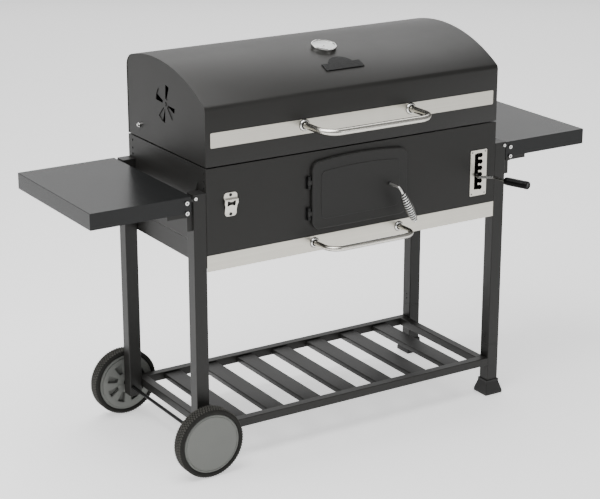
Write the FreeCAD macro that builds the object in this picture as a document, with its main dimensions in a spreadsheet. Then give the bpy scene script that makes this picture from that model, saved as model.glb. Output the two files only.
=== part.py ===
"""Charcoal trolley barbecue: firebox on four legs, hinged lid, fire door, ash drawer,
lifting coal pan, folding side tables, slatted rack and two wheels.
Row frame in mm: +X right, front faces -Y, +Z up, origin on the floor under the middle."""
import FreeCAD, Part
import math
import os
import re
import Sketcher

DOC = FreeCAD.newDocument("trolley_barbecue")
V = FreeCAD.Vector

# Every driving dimension, in mm or degrees. Each is written once.
DIMENSIONS = {
    # firebox
    "box_width": (929.4, "firebox and lid, left to right"),
    "box_depth": (432.0, "firebox and lid, front to back"),
    "front_face": (-159.0, "y of the front panel's face"),
    "rim_top": (825.5, "top rim of the firebox"),
    "wall": (1.5, "sheet of firebox and lid"),
    "flange": (14.0, "inward lip of a panel"),
    "swell_out": (7.0, "how far the pressed side panel stands out"),
    "swell_slope": (37.0, "height of the upper slope"),
    "swell_edge": (9.0, "width of the other slopes"),
    # lid
    "lid_gap": (3.5, "lid above firebox rim"),
    "lid_rise": (238.0, "lid from its lower edge to its crown"),
    "lid_arc": (505.0, "radius of the lid's roof"),
    "crown_in": (155.3, "crown line in front of the rear face"),
    "lid_brow": (16.0, "bend radius at the front"),
    "lid_nape": (40.0, "bend radius at the back"),
    "end_inset": (1.2, "end plate behind the edge of the lid shell"),
    "strip_low": (49.0, "trim strip above the lid edge"),
    "strip_tall": (39.9, "height of the trim strip"),
    "strip_sheet": (0.9, "thickness of the trim strip"),
    "strip_corner": (3.5, "corner radius of the trim strip"),
    # handles
    "lid_grip_half": (169.5, "half spacing of the lid handle feet"),
    "lid_grip_out": (112.0, "lid handle bar in front of the lid"),
    "lid_grip_rad": (8.8, "lid handle tube radius"),
    "lid_grip_bend": (46.0, "lid handle bend radius"),
    "drawer_grip_half": (137.0, "half spacing of the drawer handle feet"),
    "drawer_grip_out": (84.0, "drawer handle bar in front of the drawer"),
    "drawer_grip_rad": (7.0, "drawer handle tube radius"),
    "drawer_grip_bend": (38.0, "drawer handle bend radius"),
    "bezel_over": (5.4, "bezel radius over the tube radius"),
    "bezel_tall": (5.0, "bezel height"),
    # vents
    "vent_fore": (1.4, "vent centre in front of the middle of the depth"),
    "vent_up": (122.5, "vent centre above the lid edge"),
    "vent_rad": (52.0, "outer radius of a vent opening"),
    "vent_core": (14.0, "inner radius of a vent opening"),
    "vent_span": (42.0, "angle of a vent opening"),
    "vent_turn": (24.0, "how far the disc is turned towards closed"),
    "vent_disc": (60.0, "radius of the vent disc"),
    "vent_sheet": (1.2, "thickness of the vent disc"),
    "vent_pin": (3.0, "radius of the vent rivet"),
    # thermometer and name plate
    "gauge_deep": (172.3, "thermometer centre behind the lid's front face"),
    "gauge_rad": (35.3, "thermometer bezel radius"),
    "gauge_tall": (11.5, "thermometer case height"),
    "gauge_lip": (4.2, "width of the bezel ring"),
    "gauge_stem": (3.2, "stem radius"),
    "gauge_reach": (62.0, "stem length below the roof"),
    "plate_half": (60.0, "half width of the name plate"),
    "plate_low": (-23.5, "low edge of the plate from its centre"),
    "plate_top": (6.0, "shoulders of the plate from its centre"),
    "plate_peak": (33.5, "peak of the plate from its centre"),
    "plate_deep": (84.0, "plate centre behind the lid's front face"),
    "plate_sheet": (3.0, "thickness of the plate"),
    # lid hinges
    "hinge_up": (11.0, "lid hinge pin above the firebox rim"),
    "hinge_out": (6.0, "lid hinge pin behind the rear face"),
    "hinge_pin": (3.0, "lid hinge pin radius"),
    "hinge_eye": (5.0, "lid hinge knuckle radius"),
    "hinge_leaf": (64.0, "length of a lid hinge leaf"),
    "stay_in": (70.7, "lid side bolt in front of the rear face"),
    "stay_up": (36.0, "lid side bolt above the lid edge"),
    # fire door
    "door_left": (-149.5, "left edge of the door"),
    "door_right": (157.0, "right edge of the door"),
    "door_bow": (1130.0, "radius of the door's arched top"),
    "door_corner": (25.0, "corner radius of the door"),
    "door_thick": (9.0, "depth of the pressed door"),
    "door_wall": (3.0, "face thickness of the door"),
    "door_lap": (13.0, "door edge outside the opening"),
    "door_gap": (0.5, "door in front of the panel"),
    "door_soft": (3.2, "rounding of the door's face edge"),
    "frame_lift": (1.4, "raised inner field of the door"),
    "frame_inset": (27.0, "field from the door's edge"),
    "door_eye": (4.2, "door hinge knuckle radius"),
    "door_pin": (2.0, "door hinge pin radius"),
    "door_pin_off": (8.5, "door hinge pin left of the door edge"),
    "door_pin_out": (5.5, "door hinge pin in front of the panel"),
    "door_eye_long": (11.0, "length of one door knuckle"),
    "eye_gap": (0.35, "gap between knuckles"),
    # door handle
    "knob_x": (97.4, "door handle spindle from the middle"),
    "knob_rad": (3.4, "door handle rod radius"),
    "knob_out": (50.0, "door handle bend in front of the door"),
    "knob_tilt": (27.0, "door handle angle from vertical"),
    "coil_start": (22.0, "coil grip's start from the bend"),
    "coil_long": (88.0, "coil grip length"),
    "coil_rings": (13, "turns shown on the coil grip"),
    "coil_wire": (1.7, "coil wire radius"),
    "coil_belly": (11.0, "coil centre-line radius at the middle"),
    "coil_neck": (4.6, "coil centre-line radius at the ends"),
    "knob_ball": (5.0, "ball at the grip's end"),
    "latch_long": (30.0, "latch tongue from the spindle"),
    # drawer
    "drawer_sheet": (1.2, "sheet of the ash drawer"),
    "drawer_play": (0.4, "drawer front to each leg"),
    "tray_back": (16.0, "tray end in front of the rear face"),
    "runner_gap": (0.5, "tray lip over runner"),
    # coal pan and lift lever
    "pan_side": (24.0, "coal pan inside the side panels"),
    "pan_front": (26.0, "coal pan behind the front panel"),
    "pan_back": (26.0, "coal pan in front of the rear panel"),
    "pan_tall": (58.0, "height of the coal pan"),
    "pan_sheet": (1.5, "sheet of the coal pan"),
    "pan_gap": (1.0, "coal pan above the lever's cross bar"),
    "lever_side": (11.2, "lever arms inside the side panels"),
    "lever_jog": (12.0, "lever's inner bend behind the front panel"),
    "lever_rad": (4.0, "lever rod radius"),
    "pivot_in": (13.7, "lever pivot in front of the rear face"),
    "weld_over": (0.5, "weld radius over the rod radius"),
    "lever_out": (80.0, "lever's bend in front of the panel"),
    "grip_rad": (11.0, "lever grip radius"),
    "grip_long": (76.0, "lever grip length"),
    "run_clear": (0.05, "radial clearance of a running pin"),
    # height plate
    "notch_sheet": (1.5, "thickness of the slot plate"),
    "slot_half": (6.5, "half width of the slot"),
    "hook_reach": (20.5, "notch depth from the slot's middle"),
    "hook_half": (5.9, "half height of a notch"),
    "hook_pitch": (18.6, "spacing of the notches"),
    "hook_count": (6, "number of notches"),
    # bottle opener
    "opener_half": (19.8, "half width of its upper plate"),
    "opener_sheet": (1.8, "thickness of the opener"),
    "opener_out": (8.0, "how far the lip stands out"),
    # legs
    "leg_wide": (37.0, "leg section left to right"),
    "leg_deep": (37.0, "leg section front to back"),
    "leg_wall": (1.5, "leg tube wall"),
    "leg_soft": (2.5, "leg corner radius"),
    "leg_end": (68.6, "lower end of the legs on the wheel side"),
    "joint_z": (156.0, "joint of leg and lower leg"),
    "joint_gap": (0.7, "gap at the joint"),
    "plug_up": (42.0, "plug of the lower leg above the joint"),
    "cap_tall": (3.5, "leg cap height"),
    "foot_flare": (11.1, "foot base outside the leg"),
    "foot_collar": (3.0, "foot collar outside the leg"),
    "foot_rim": (9.0, "height of the foot's base"),
    "foot_cone": (35.0, "top of the foot's slope"),
    "foot_top": (44.0, "top of the foot's collar"),
    # rack
    "rail_low": (91.6, "underside of the rack rails"),
    "rail_tall": (23.4, "height of the rack rails"),
    "rail_deep": (25.0, "width of the rack rails"),
    "rail_soft": (2.0, "corner radius of the rack rails"),
    "rail_wall": (1.5, "wall of the rack rails"),
    "slat_count": (7, "number of slats"),
    "slat_end": (52.7, "first slat from the end rail"),
    "slat_wide": (54.0, "width of a slat"),
    "slat_drop": (5.0, "slat top below the rail top"),
    "slat_tall": (14.0, "height of a slat's sides"),
    "slat_sheet": (1.2, "sheet of the slats"),
    # wheels
    "axle_rad": (5.0, "axle radius"),
    "wheel_rad": (95.8, "tyre radius"),
    "wheel_wide": (40.0, "tyre width"),
    "wheel_gap": (22.4, "front wheel to leg"),
    "rear_gap": (4.6, "rear wheel to leg"),
    "rim_rad": (81.9, "rim radius"),
    "rim_wide": (37.0, "rim width"),
    "rim_wall": (4.0, "rim ring wall"),
    "rim_disc": (3.0, "rim disc thickness"),
    "hub_rad": (15.0, "hub radius"),
    "tread_soft": (7.0, "tyre shoulder radius"),
    "window_count": (8, "openings in the rim's inner side"),
    # side tables
    "table_set": (3.3, "front edge of the tables behind the front face"),
    "table_over": (11.3, "rear edge of the tables behind the rear face"),
    "table_tall": (43.5, "height of the table rim"),
    "table_sheet": (1.2, "sheet of the tables"),
    "table_soft": (2.2, "corner radius of the tables"),
    "fold_pin": (4.0, "table pivot radius"),
    "fold_head": (5.2, "table bolt head radius"),
    "head_tall": (3.5, "table bolt head height"),
    "arm_sheet": (2.0, "thickness of arms and brackets"),
    "arm_gap": (0.4, "gap between arm and bracket"),
    "post_wide": (16.0, "width of the bracket beside the leg"),
    "bolt_rise": (27.0, "upper table bolt above the pivot"),
    # grates
    "grate_gap": (4.0, "grate to panels"),
    "grate_split": (1.5, "half the gap between the two grates"),
    "grate_bar": (8.0, "grate bar width"),
    "grate_pitch": (22.0, "spacing of grate bars"),
    "grate_tall": (10.0, "height of the grates"),
    "ledge_wide": (16.0, "width of the grate ledges"),
    # small fixings
    "screw_rad": (3.4, "screw head radius"),
    "screw_tall": (1.8, "screw head height"),
}

# Heights, each given as its drop below the firebox rim.
DROPS = {
    "floor_sheet": (265.5, "bottom edge of the side and rear panels"),
    "panel_low": (230.9, "bottom edge of the front panel"),
    "swell_low": (214.5, "lower edge of the pressed area"),
    "swell_top": (40.5, "upper edge of the pressed area"),
    "door_low": (213.5, "bottom edge of the door"),
    "door_shoulder": (28.0, "top of the door's sides"),
    "door_hinge_low": (167.2, "lower door hinge"),
    "door_hinge_top": (81.2, "upper door hinge"),
    "knob_z": (120.8, "door handle spindle"),
    "drawer_low": (275.9, "bottom edge of the drawer front"),
    "drawer_top": (231.9, "top edge of the drawer front"),
    "tray_low": (272.5, "underside of the ash tray"),
    "tray_top": (236.5, "top of the ash tray's side lips"),
    "lever_z": (147.5, "lift lever"),
    "notch_low": (205.5, "bottom of the slot plate"),
    "notch_top": (73.0, "top of the slot plate"),
    "slot_low": (186.4, "bottom of the slot"),
    "slot_top": (84.0, "top of the slot"),
    "hook_first": (181.1, "lowest notch"),
    "opener_low": (134.5, "bottom of the opener"),
    "opener_step": (85.5, "step"),
    "opener_top": (70.5, "top of the opener"),
    "leg_top": (66.5, "top of the leg tubes"),
    "table_top": (65.5, "top of the tables"),
    "fold_z": (108.0, "table pivot"),
    "arm_low": (119.5, "underside of the arm"),
    "arm_top": (73.5, "top of the arm"),
    "post_low": (158.5, "lower end of the bracket"),
    "grate_z": (39.5, "underside of the grates"),
}

# Places across the width, each given as its distance inside the firebox's side.
INSETS = {
    "strip_half": (14.5, "ends of the lid trim strip"),
    "notch_left": (86.2, "left edge of the slot plate"),
    "notch_right": (29.7, "right edge of the slot plate"),
    "lever_x": (65.7, "lever rod"),
    "lever_far": (2.7, "grip end of the lever"),
    "tray_half": (18.7, "sides of the ash tray"),
    "hinge_place": (134.7, "middle of a lid hinge"),
    "opener_place": (70.7, "middle of the bottle opener, on the left"),
}

# Places across the width, each given as its distance outside the legs' outer side.
OUTSETS = {
    "table_start": (3.3, "inner edge of a table"),
    "table_half": (288.3, "outer edge of a table"),
    "fold_x": (18.3, "table pivot"),
    "arm_near": (6.8, "inner end of the arm"),
    "arm_far": (74.3, "outer end of the arm"),
    "axle_place": (-8.7, "axle, on the left"),
}

RULES = (
    (DROPS, "drop", "=rim_top - %s"),
    (INSETS, "inset", "=box_width / 2 - %s"),
    (OUTSETS, "outset", "=box_width / 2 + leg_wide + %s"),
)


class Size:
    """A length that keeps both its sheet formula and its present value."""

    def __init__(self, text, number):
        self.text = text
        self.number = number

    def join(self, other, sign, number):
        return Size("(%s %s %s)" % (self.text, sign, size(other).text), number)

    def __add__(self, other):
        return self.join(other, "+", self.number + size(other).number)

    def __sub__(self, other):
        return self.join(other, "-", self.number - size(other).number)

    def __mul__(self, other):
        return self.join(other, "*", self.number * size(other).number)

    def __truediv__(self, other):
        return self.join(other, "/", self.number / size(other).number)

    def __radd__(self, other):
        return size(other) + self

    def __rsub__(self, other):
        return size(other) - self

    def __rmul__(self, other):
        return size(other) * self

    def __neg__(self):
        return size(0) - self


def size(value):
    if isinstance(value, Size):
        return value
    return Size("%.9g" % value, float(value))


class Sizes:
    """The sheet's cells as Size values, by alias."""


def fill_sheet():
    """Writes each driving size, then the places worked out from the drops and distances."""
    sheet = DOC.addObject("Spreadsheet::Sheet", "dims")
    rows = [(alias, "%.9g" % number, note) for alias, (number, note) in DIMENSIONS.items()]
    for places, kind, rule in RULES:
        for alias, (number, note) in places.items():
            given = "%s_%s" % (alias, kind)
            rows.append((given, "%.9g" % number, kind))
            rows.append((alias, rule % given, note))
    for row, (alias, content, note) in enumerate(rows, 1):
        sheet.set("A%d" % row, alias)
        sheet.set("B%d" % row, content)
        sheet.setAlias("B%d" % row, alias)
        sheet.set("C%d" % row, note)
    DOC.recompute()
    for alias, _, _ in rows:
        setattr(Sizes, alias, Size("dims." + alias, float(sheet.get(alias))))


fill_sheet()
D = Sizes

# Places that several pieces share, each worked out from the driving dimensions.
HALF = D.box_width / 2
FRONT = D.front_face
BACK = D.front_face + D.box_depth
LID_LOW = D.rim_top + D.lid_gap
LID_TOP = LID_LOW + D.lid_rise
CROWN_Y = BACK - D.crown_in
ARC_Z = LID_TOP - D.lid_arc
LEG_OUT = HALF + D.leg_wide
HINGE_Y = BACK + D.hinge_out
HINGE_Z = D.rim_top + D.hinge_up
PIVOT_Y = BACK - D.pivot_in
STRIP_Z = LID_LOW + D.strip_low
AXLE_Z = D.wheel_rad
AXLE_X = -D.axle_place
OPENER_X = -D.opener_place
VENT_Y = (FRONT + BACK) / 2 - D.vent_fore
VENT_Z = LID_LOW + D.vent_up
BAR_Y = (FRONT + BACK) / 2
PAN_LOW = D.lever_z + D.lever_rad + D.pan_gap
SLAT_PITCH = ((HALF - D.rail_deep - D.slat_end) * 2 - D.slat_wide) / (D.slat_count - 1)
TABLE_FRONT = FRONT + D.table_set
TABLE_BACK = BACK + D.table_over

NODES = {}


# ---------------------------------------------------------------- helpers
def bind(thing, **rules):
    for name, rule in rules.items():
        thing.setExpression(name.replace("__", "."), size(rule).text)
    return thing


def put(thing, x, y, z):
    return bind(thing, Placement__Base__x=x, Placement__Base__y=y, Placement__Base__z=z)


def box(name, x0, x1, y0, y1, z0, z1):
    block = DOC.addObject("Part::Box", name)
    bind(block, Length=size(x1) - x0, Width=size(y1) - y0, Height=size(z1) - z0)
    return put(block, x0, y0, z0)


TURNS = {
    "x": FreeCAD.Rotation(V(0, 1, 0), 90),
    "y": FreeCAD.Rotation(V(1, 0, 0), -90),
    "z": FreeCAD.Rotation(),
}


def rod(name, axis, radius, length, x, y, z, sweep=360, twist=0):
    """A cylinder that starts at x, y, z and runs along plus axis."""
    round_bar = DOC.addObject("Part::Cylinder", name)
    turn = TURNS[axis] * FreeCAD.Rotation(V(0, 0, 1), twist)
    round_bar.Placement = FreeCAD.Placement(V(), turn)
    bind(round_bar, Radius=radius, Height=length, Angle=sweep)
    return put(round_bar, x, y, z)


def fuse(name, pieces):
    joined = DOC.addObject("Part::MultiFuse", name)
    joined.Shapes = pieces
    joined.Refine = True
    return joined


def cut(name, base, tools):
    piece = DOC.addObject("Part::Cut", name)
    piece.Base = base
    piece.Tool = tools[0] if len(tools) == 1 else compound(name + "_tools", tools)
    piece.Refine = True
    return piece


def compound(name, pieces):
    group = DOC.addObject("Part::Compound", name)
    group.Links = pieces
    return group


def mirror(name, source):
    """The same piece on the other side of the middle plane."""
    twin = DOC.addObject("Part::Mirroring", name)
    twin.Source = source
    twin.Normal = (1, 0, 0)
    return twin


def keep(name, thing):
    """Names the finished sub-part, whose label is its file name."""
    thing.Label = name
    NODES[name] = thing
    return thing


def new_body(name, base=None):
    part_body = DOC.addObject("PartDesign::Body", name)
    if base is not None:
        part_body.BaseFeature = base
    return part_body


def block(part_body, name, kind, x0, x1, y0, y1, z0, z1):
    """An additive or subtractive box feature of a body, by its corners."""
    feature = part_body.newObject("PartDesign::%sBox" % kind, name)
    bind(feature, Length=size(x1) - x0, Width=size(y1) - y0, Height=size(z1) - z0)
    return put(feature, x0, y0, z0)


def fillet(part_body, name, base, radius, chosen):
    """Rounds the edges of base that chosen(edge) picks."""
    DOC.recompute()
    edges = enumerate(base.Shape.Edges, 1)
    names = ["Edge%d" % number for number, edge in edges if chosen(edge)]
    feature = part_body.newObject("PartDesign::Fillet", name)
    feature.Base = (base, names)
    bind(feature, Radius=radius)
    return feature


def along(axis):
    """Picks straight edges that run along an axis."""
    def chosen(edge):
        if edge.Curve.TypeId != "Part::GeomLine":
            return False
        run = edge.Vertexes[-1].Point - edge.Vertexes[0].Point
        return abs(abs(run.dot(axis)) - run.Length) < 1e-4
    return chosen


ALONG_X = along(V(1, 0, 0))
ALONG_Y = along(V(0, 1, 0))
ALONG_Z = along(V(0, 0, 1))


def plane_of(part_body, role):
    for feature in part_body.Origin.OriginFeatures:
        if feature.Role == role:
            return feature
    raise ValueError("no plane " + role)


def outline(part_body, name, role, corners, bows=None):
    """A closed sketch through corners, each pinned by formula; a side may be a bow.

    bows maps a side's number to (radius, middle point) of the arc that replaces it."""
    bows = bows or {}
    sketch = part_body.newObject("Sketcher::SketchObject", name)
    sketch.AttachmentSupport = [(plane_of(part_body, role), "")]
    sketch.MapMode = "FlatFace"
    points = [V(size(u).number, size(v).number, 0) for u, v in corners]
    count = len(points)
    for side in range(count):
        start, end = points[side], points[(side + 1) % count]
        if side in bows:
            middle = V(size(bows[side][1][0]).number, size(bows[side][1][1]).number, 0)
            sketch.addGeometry(Part.Arc(start, middle, end), False)
        else:
            sketch.addGeometry(Part.LineSegment(start, end), False)

    def end_at(side, point):
        first = sketch.getPoint(side, 1)
        return 1 if (first - point).Length < 1e-6 else 2

    for side in range(count):
        after = (side + 1) % count
        point = points[after]
        sketch.addConstraint(Sketcher.Constraint(
            "Coincident", side, end_at(side, point), after, end_at(after, point)))
    for side, (u, v) in enumerate(corners):
        end = end_at(side, points[side])
        for kind, rule in (("DistanceX", u), ("DistanceY", v)):
            limit = Sketcher.Constraint(kind, -1, 1, side, end, size(rule).number)
            number = sketch.addConstraint(limit)
            sketch.setExpression("Constraints[%d]" % number, size(rule).text)
    for side, (radius, _) in bows.items():
        number = sketch.addConstraint(Sketcher.Constraint("Radius", side, size(radius).number))
        sketch.setExpression("Constraints[%d]" % number, size(radius).text)
    return sketch


def pad(part_body, name, sketch, length, both_ways=False, backwards=False):
    feature = part_body.newObject("PartDesign::Pad", name)
    feature.Profile = sketch
    feature.Midplane = both_ways
    feature.Reversed = backwards
    return bind(feature, Length=length)


def shift(part_body, x, y, z):
    return put(part_body, x, y, z)


# ---------------------------------------------------------------- firebox
def make_front_panel():
    """Front plate with an inward lip above and below, the door opening and the lever slot."""
    panel = new_body("front_panel")
    inner = HALF - D.wall
    block(panel, "front_plate", "Additive", -HALF, HALF, FRONT, FRONT + D.wall,
          D.panel_low, D.rim_top)
    block(panel, "front_lip_top", "Additive", -inner, inner, FRONT, FRONT + D.flange,
          D.rim_top - D.wall, D.rim_top)
    block(panel, "front_lip_low", "Additive", -inner, inner, FRONT, FRONT + D.flange,
          D.panel_low, D.panel_low + D.wall)
    block(panel, "door_way", "Subtractive", D.door_left + D.door_lap,
          D.door_right - D.door_lap, FRONT - 1, FRONT + D.wall + 1,
          D.door_low + D.door_lap, D.door_shoulder - D.door_lap - 8)
    block(panel, "lever_way", "Subtractive", D.notch_left + 8, D.notch_right - 8,
          FRONT - 1, FRONT + D.wall + 1, D.notch_low + 8, D.notch_top - 5)
    keep("front_panel", panel)


def make_rear_panel():
    """Rear plate with an inward lip at the top."""
    panel = new_body("rear_panel")
    inner = HALF - D.wall
    block(panel, "rear_plate", "Additive", -HALF, HALF, BACK - D.wall, BACK,
          D.floor_sheet, D.rim_top)
    block(panel, "rear_lip", "Additive", -inner, inner, BACK - D.flange, BACK,
          D.rim_top - D.wall, D.rim_top)
    keep("rear_panel", panel)


def make_side_panel():
    """Side plate, pressed outwards between the legs, with a lip along its top."""
    y0 = FRONT + D.wall
    y1 = BACK - D.wall
    plate = box("side_plate", -HALF, -HALF + D.wall, y0, y1, D.floor_sheet, D.rim_top)
    lip = box("side_lip", -HALF, -HALF + D.flange, FRONT + D.flange, BACK - D.flange,
              D.rim_top - D.wall, D.rim_top)

    def swell(name, inward):
        wedge = DOC.addObject("Part::Wedge", name)
        near = FRONT + D.leg_deep + 5 + inward
        far = BACK - D.leg_deep - 5 - inward
        low = D.swell_low + inward
        high = D.swell_top - inward
        wedge.Placement.Rotation = FreeCAD.Rotation(V(0, 0, 1), 90)
        bind(wedge, Xmin=near, Xmax=far, Zmin=low, Zmax=high,
             Ymin=-inward, Ymax=D.swell_out - inward,
             X2min=near + D.swell_edge, X2max=far - D.swell_edge,
             Z2min=low + D.swell_edge, Z2max=high - D.swell_slope)
        return put(wedge, -HALF, 0, 0)

    outer = swell("swell_outer", size(0))
    inner = swell("swell_inner", D.wall)
    shell = cut("side_shell", fuse("side_raised", [plate, lip, outer]), [inner])
    hole = rod("lever_hole", "x", D.lever_rad + D.run_clear, D.flange, -HALF - 1,
               PIVOT_Y, D.lever_z)
    left = cut("left_side_panel", shell, [hole])
    keep("left_side_panel", left)
    keep("right_side_panel", mirror("right_side_panel", left))


def make_grates():
    """Two cast grates on ledges along the front and rear panels."""
    inner = HALF - D.wall - D.grate_gap
    y0 = FRONT + D.wall + D.grate_gap
    y1 = BACK - D.wall - D.grate_gap
    top = D.grate_z + D.grate_tall
    room = inner - D.grate_split - D.grate_bar * 2
    frame = box("grate_frame", -inner, -D.grate_split, y0, y1, D.grate_z, top)
    slots = []
    for index in range(int(room.number // D.grate_pitch.number)):
        x0 = -D.grate_split - D.grate_pitch * (index + 1)
        x1 = x0 + D.grate_pitch - D.grate_bar
        for row, (low, high) in enumerate(((0.03, 0.49), (0.51, 0.97))):
            slots.append(box("grate_slot_%d_%d" % (index, row), x0, x1,
                             y0 + (y1 - y0) * low, y0 + (y1 - y0) * high,
                             D.grate_z - 1, top + 1))
    left = cut("grate_left", frame, slots)
    right = mirror("grate_right", left)
    keep("cooking_grates", compound("cooking_grates", [left, right]))


def make_ledges():
    """Angle ledges that carry the grates."""
    inner = HALF - D.wall - 12
    pieces = []
    for name, wall_y, sign in (("front", FRONT + D.wall, 1), ("rear", BACK - D.wall, -1)):
        edge = wall_y + D.ledge_wide * sign
        y0, y1 = (wall_y, edge) if sign > 0 else (edge, wall_y)
        seat = box("ledge_seat_" + name, -inner, inner, y0, y1, D.grate_z - D.wall, D.grate_z)
        thin = wall_y + D.wall * sign
        w0, w1 = (wall_y, thin) if sign > 0 else (thin, wall_y)
        web = box("ledge_web_" + name, -inner, inner, w0, w1, D.grate_z - 12, D.grate_z)
        pieces.append(fuse("ledge_" + name, [seat, web]))
    keep("grate_ledges", compound("grate_ledges", pieces))


# ---------------------------------------------------------------- legs and rack
def leg_tube(name, x0, y0, z0, z1):
    """Square tube with rounded corners."""
    tube = new_body(name)
    x1 = x0 + D.leg_wide
    y1 = y0 + D.leg_deep
    solid = block(tube, name + "_bar", "Additive", x0, x1, y0, y1, z0, z1)
    fillet(tube, name + "_soft", solid, D.leg_soft, ALONG_Z)
    block(tube, name + "_bore", "Subtractive", x0 + D.leg_wall, x1 - D.leg_wall,
          y0 + D.leg_wall, y1 - D.leg_wall, z0 - 1, z1 + 1)
    return tube


def make_legs():
    y_front = FRONT
    y_rear = BACK - D.leg_deep
    joint = D.joint_z + D.joint_gap
    for name, y0 in (("front", y_front), ("rear", y_rear)):
        left = leg_tube("left_leg_" + name, -LEG_OUT, y0, D.leg_end, D.leg_top)
        hole = rod("axle_hole_" + name, "y", D.axle_rad, D.leg_deep + 2, AXLE_X,
                   y0 - 1, AXLE_Z)
        keep("left_leg_" + name, cut("left_leg_%s_drilled" % name, left, [hole]))
        keep("right_leg_" + name, leg_tube("right_leg_" + name, HALF, y0, joint, D.leg_top))


def make_lower_legs():
    """Short lower legs whose plugs fit inside the right legs."""
    pieces = []
    for name, y0 in (("front", FRONT), ("rear", BACK - D.leg_deep)):
        tube = leg_tube("lower_leg_" + name, HALF, y0, D.foot_rim, D.joint_z)
        plug = box("lower_plug_" + name, HALF + D.leg_wall, LEG_OUT - D.leg_wall,
                   y0 + D.leg_wall, y0 + D.leg_deep - D.leg_wall,
                   D.joint_z - D.plug_up, D.joint_z + D.plug_up)
        bore = box("lower_bore_" + name, HALF + D.leg_wall * 2, LEG_OUT - D.leg_wall * 2,
                   y0 + D.leg_wall * 2, y0 + D.leg_deep - D.leg_wall * 2,
                   D.joint_z - D.plug_up - 1, D.joint_z + D.plug_up + 1)
        pieces.append(fuse("lower_" + name, [tube, cut("lower_sleeve_" + name, plug, [bore])]))
    keep("lower_legs", compound("lower_legs", pieces))


def make_foot(name, y0):
    """Flared plastic foot: rim, slope and collar round the leg."""
    x0 = HALF
    x1 = LEG_OUT
    y1 = y0 + D.leg_deep
    base = box(name + "_rim", x0 - D.foot_flare, x1 + D.foot_flare, y0 - D.foot_flare,
               y1 + D.foot_flare, 0, D.foot_rim)
    slope = DOC.addObject("Part::Wedge", name + "_slope")
    slope.Placement.Rotation = FreeCAD.Rotation(V(1, 0, 0), 90)
    bind(slope, Xmin=x0 - D.foot_flare, Xmax=x1 + D.foot_flare,
         Zmin=-(y1 + D.foot_flare), Zmax=-(y0 - D.foot_flare),
         Ymin=D.foot_rim, Ymax=D.foot_cone,
         X2min=x0 - D.foot_collar, X2max=x1 + D.foot_collar,
         Z2min=-(y1 + D.foot_collar), Z2max=-(y0 - D.foot_collar))
    collar = box(name + "_collar", x0 - D.foot_collar, x1 + D.foot_collar,
                 y0 - D.foot_collar, y1 + D.foot_collar, D.foot_cone, D.foot_top)
    well = box(name + "_well", x0, x1, y0, y1, D.foot_rim, D.foot_top + 1)
    whole = fuse(name + "_solid", [base, slope, collar])
    keep(name, cut(name, whole, [well]))


def make_leg_caps():
    """Plastic caps on the tops of the legs."""
    caps = []
    for tag, x0 in (("left", -LEG_OUT), ("right", HALF)):
        for where, y0 in (("front", FRONT), ("rear", BACK - D.leg_deep)):
            name = "cap_%s_%s" % (tag, where)
            cap = new_body(name)
            plate = block(cap, name + "_top", "Additive", x0, x0 + D.leg_wide, y0,
                          y0 + D.leg_deep, D.leg_top, D.leg_top + D.cap_tall)
            fillet(cap, name + "_soft", plate, D.leg_soft, ALONG_Z)
            block(cap, name + "_plug", "Additive", x0 + D.leg_wall,
                  x0 + D.leg_wide - D.leg_wall, y0 + D.leg_wall,
                  y0 + D.leg_deep - D.leg_wall, D.leg_top - 8, D.leg_top + 1)
            caps.append(cap)
    keep("leg_caps", compound("leg_caps", caps))


def rail(name, x0, x1, y0, y1, axis):
    """A rack rail: rounded box tube along an axis."""
    tube = new_body(name)
    z0 = D.rail_low
    z1 = D.rail_low + D.rail_tall
    solid = block(tube, name + "_bar", "Additive", x0, x1, y0, y1, z0, z1)
    w = D.rail_wall
    if axis == "x":
        fillet(tube, name + "_soft", solid, D.rail_soft, ALONG_X)
        block(tube, name + "_bore", "Subtractive", x0 - 1, x1 + 1, y0 + w, y1 - w,
              z0 + w, z1 - w)
    else:
        fillet(tube, name + "_soft", solid, D.rail_soft, ALONG_Y)
        block(tube, name + "_bore", "Subtractive", x0 + w, x1 - w, y0 - 1, y1 + 1,
              z0 + w, z1 - w)
    return tube


def make_rack():
    keep("rack_front_rail", rail("rack_front_rail", -HALF, HALF, FRONT,
                                 FRONT + D.rail_deep, "x"))
    keep("rack_rear_rail", rail("rack_rear_rail", -HALF, HALF, BACK - D.rail_deep,
                                BACK, "x"))
    left = rail("rack_end_left", -HALF, -HALF + D.rail_deep, FRONT + D.rail_deep,
                BACK - D.rail_deep, "y")
    right = mirror("rack_end_right", left)
    keep("rack_end_rails", compound("rack_end_rails", [left, right]))
    top = D.rail_low + D.rail_tall - D.slat_drop
    slats = []
    count = int(D.slat_count.number)
    for index in range(count):
        middle = SLAT_PITCH * (index - (count - 1) / 2)
        x0 = middle - D.slat_wide / 2
        x1 = middle + D.slat_wide / 2
        y0 = FRONT + D.rail_deep
        y1 = BACK - D.rail_deep
        outer = box("slat_top_%d" % index, x0, x1, y0, y1, top - D.slat_tall, top)
        inner = box("slat_under_%d" % index, x0 + D.slat_sheet, x1 - D.slat_sheet, y0 - 1,
                    y1 + 1, top - D.slat_tall - 1, top - D.slat_sheet)
        slats.append(cut("slat_%d" % index, outer, [inner]))
    keep("rack_slats", compound("rack_slats", slats))


# ---------------------------------------------------------------- wheels
def wheel_faces():
    """Inner and outer y of the front and the rear wheel."""
    front_in = FRONT - D.wheel_gap
    rear_in = BACK + D.rear_gap
    return {"front": (front_in, front_in - D.wheel_wide), "rear": (rear_in, rear_in + D.wheel_wide)}


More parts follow.
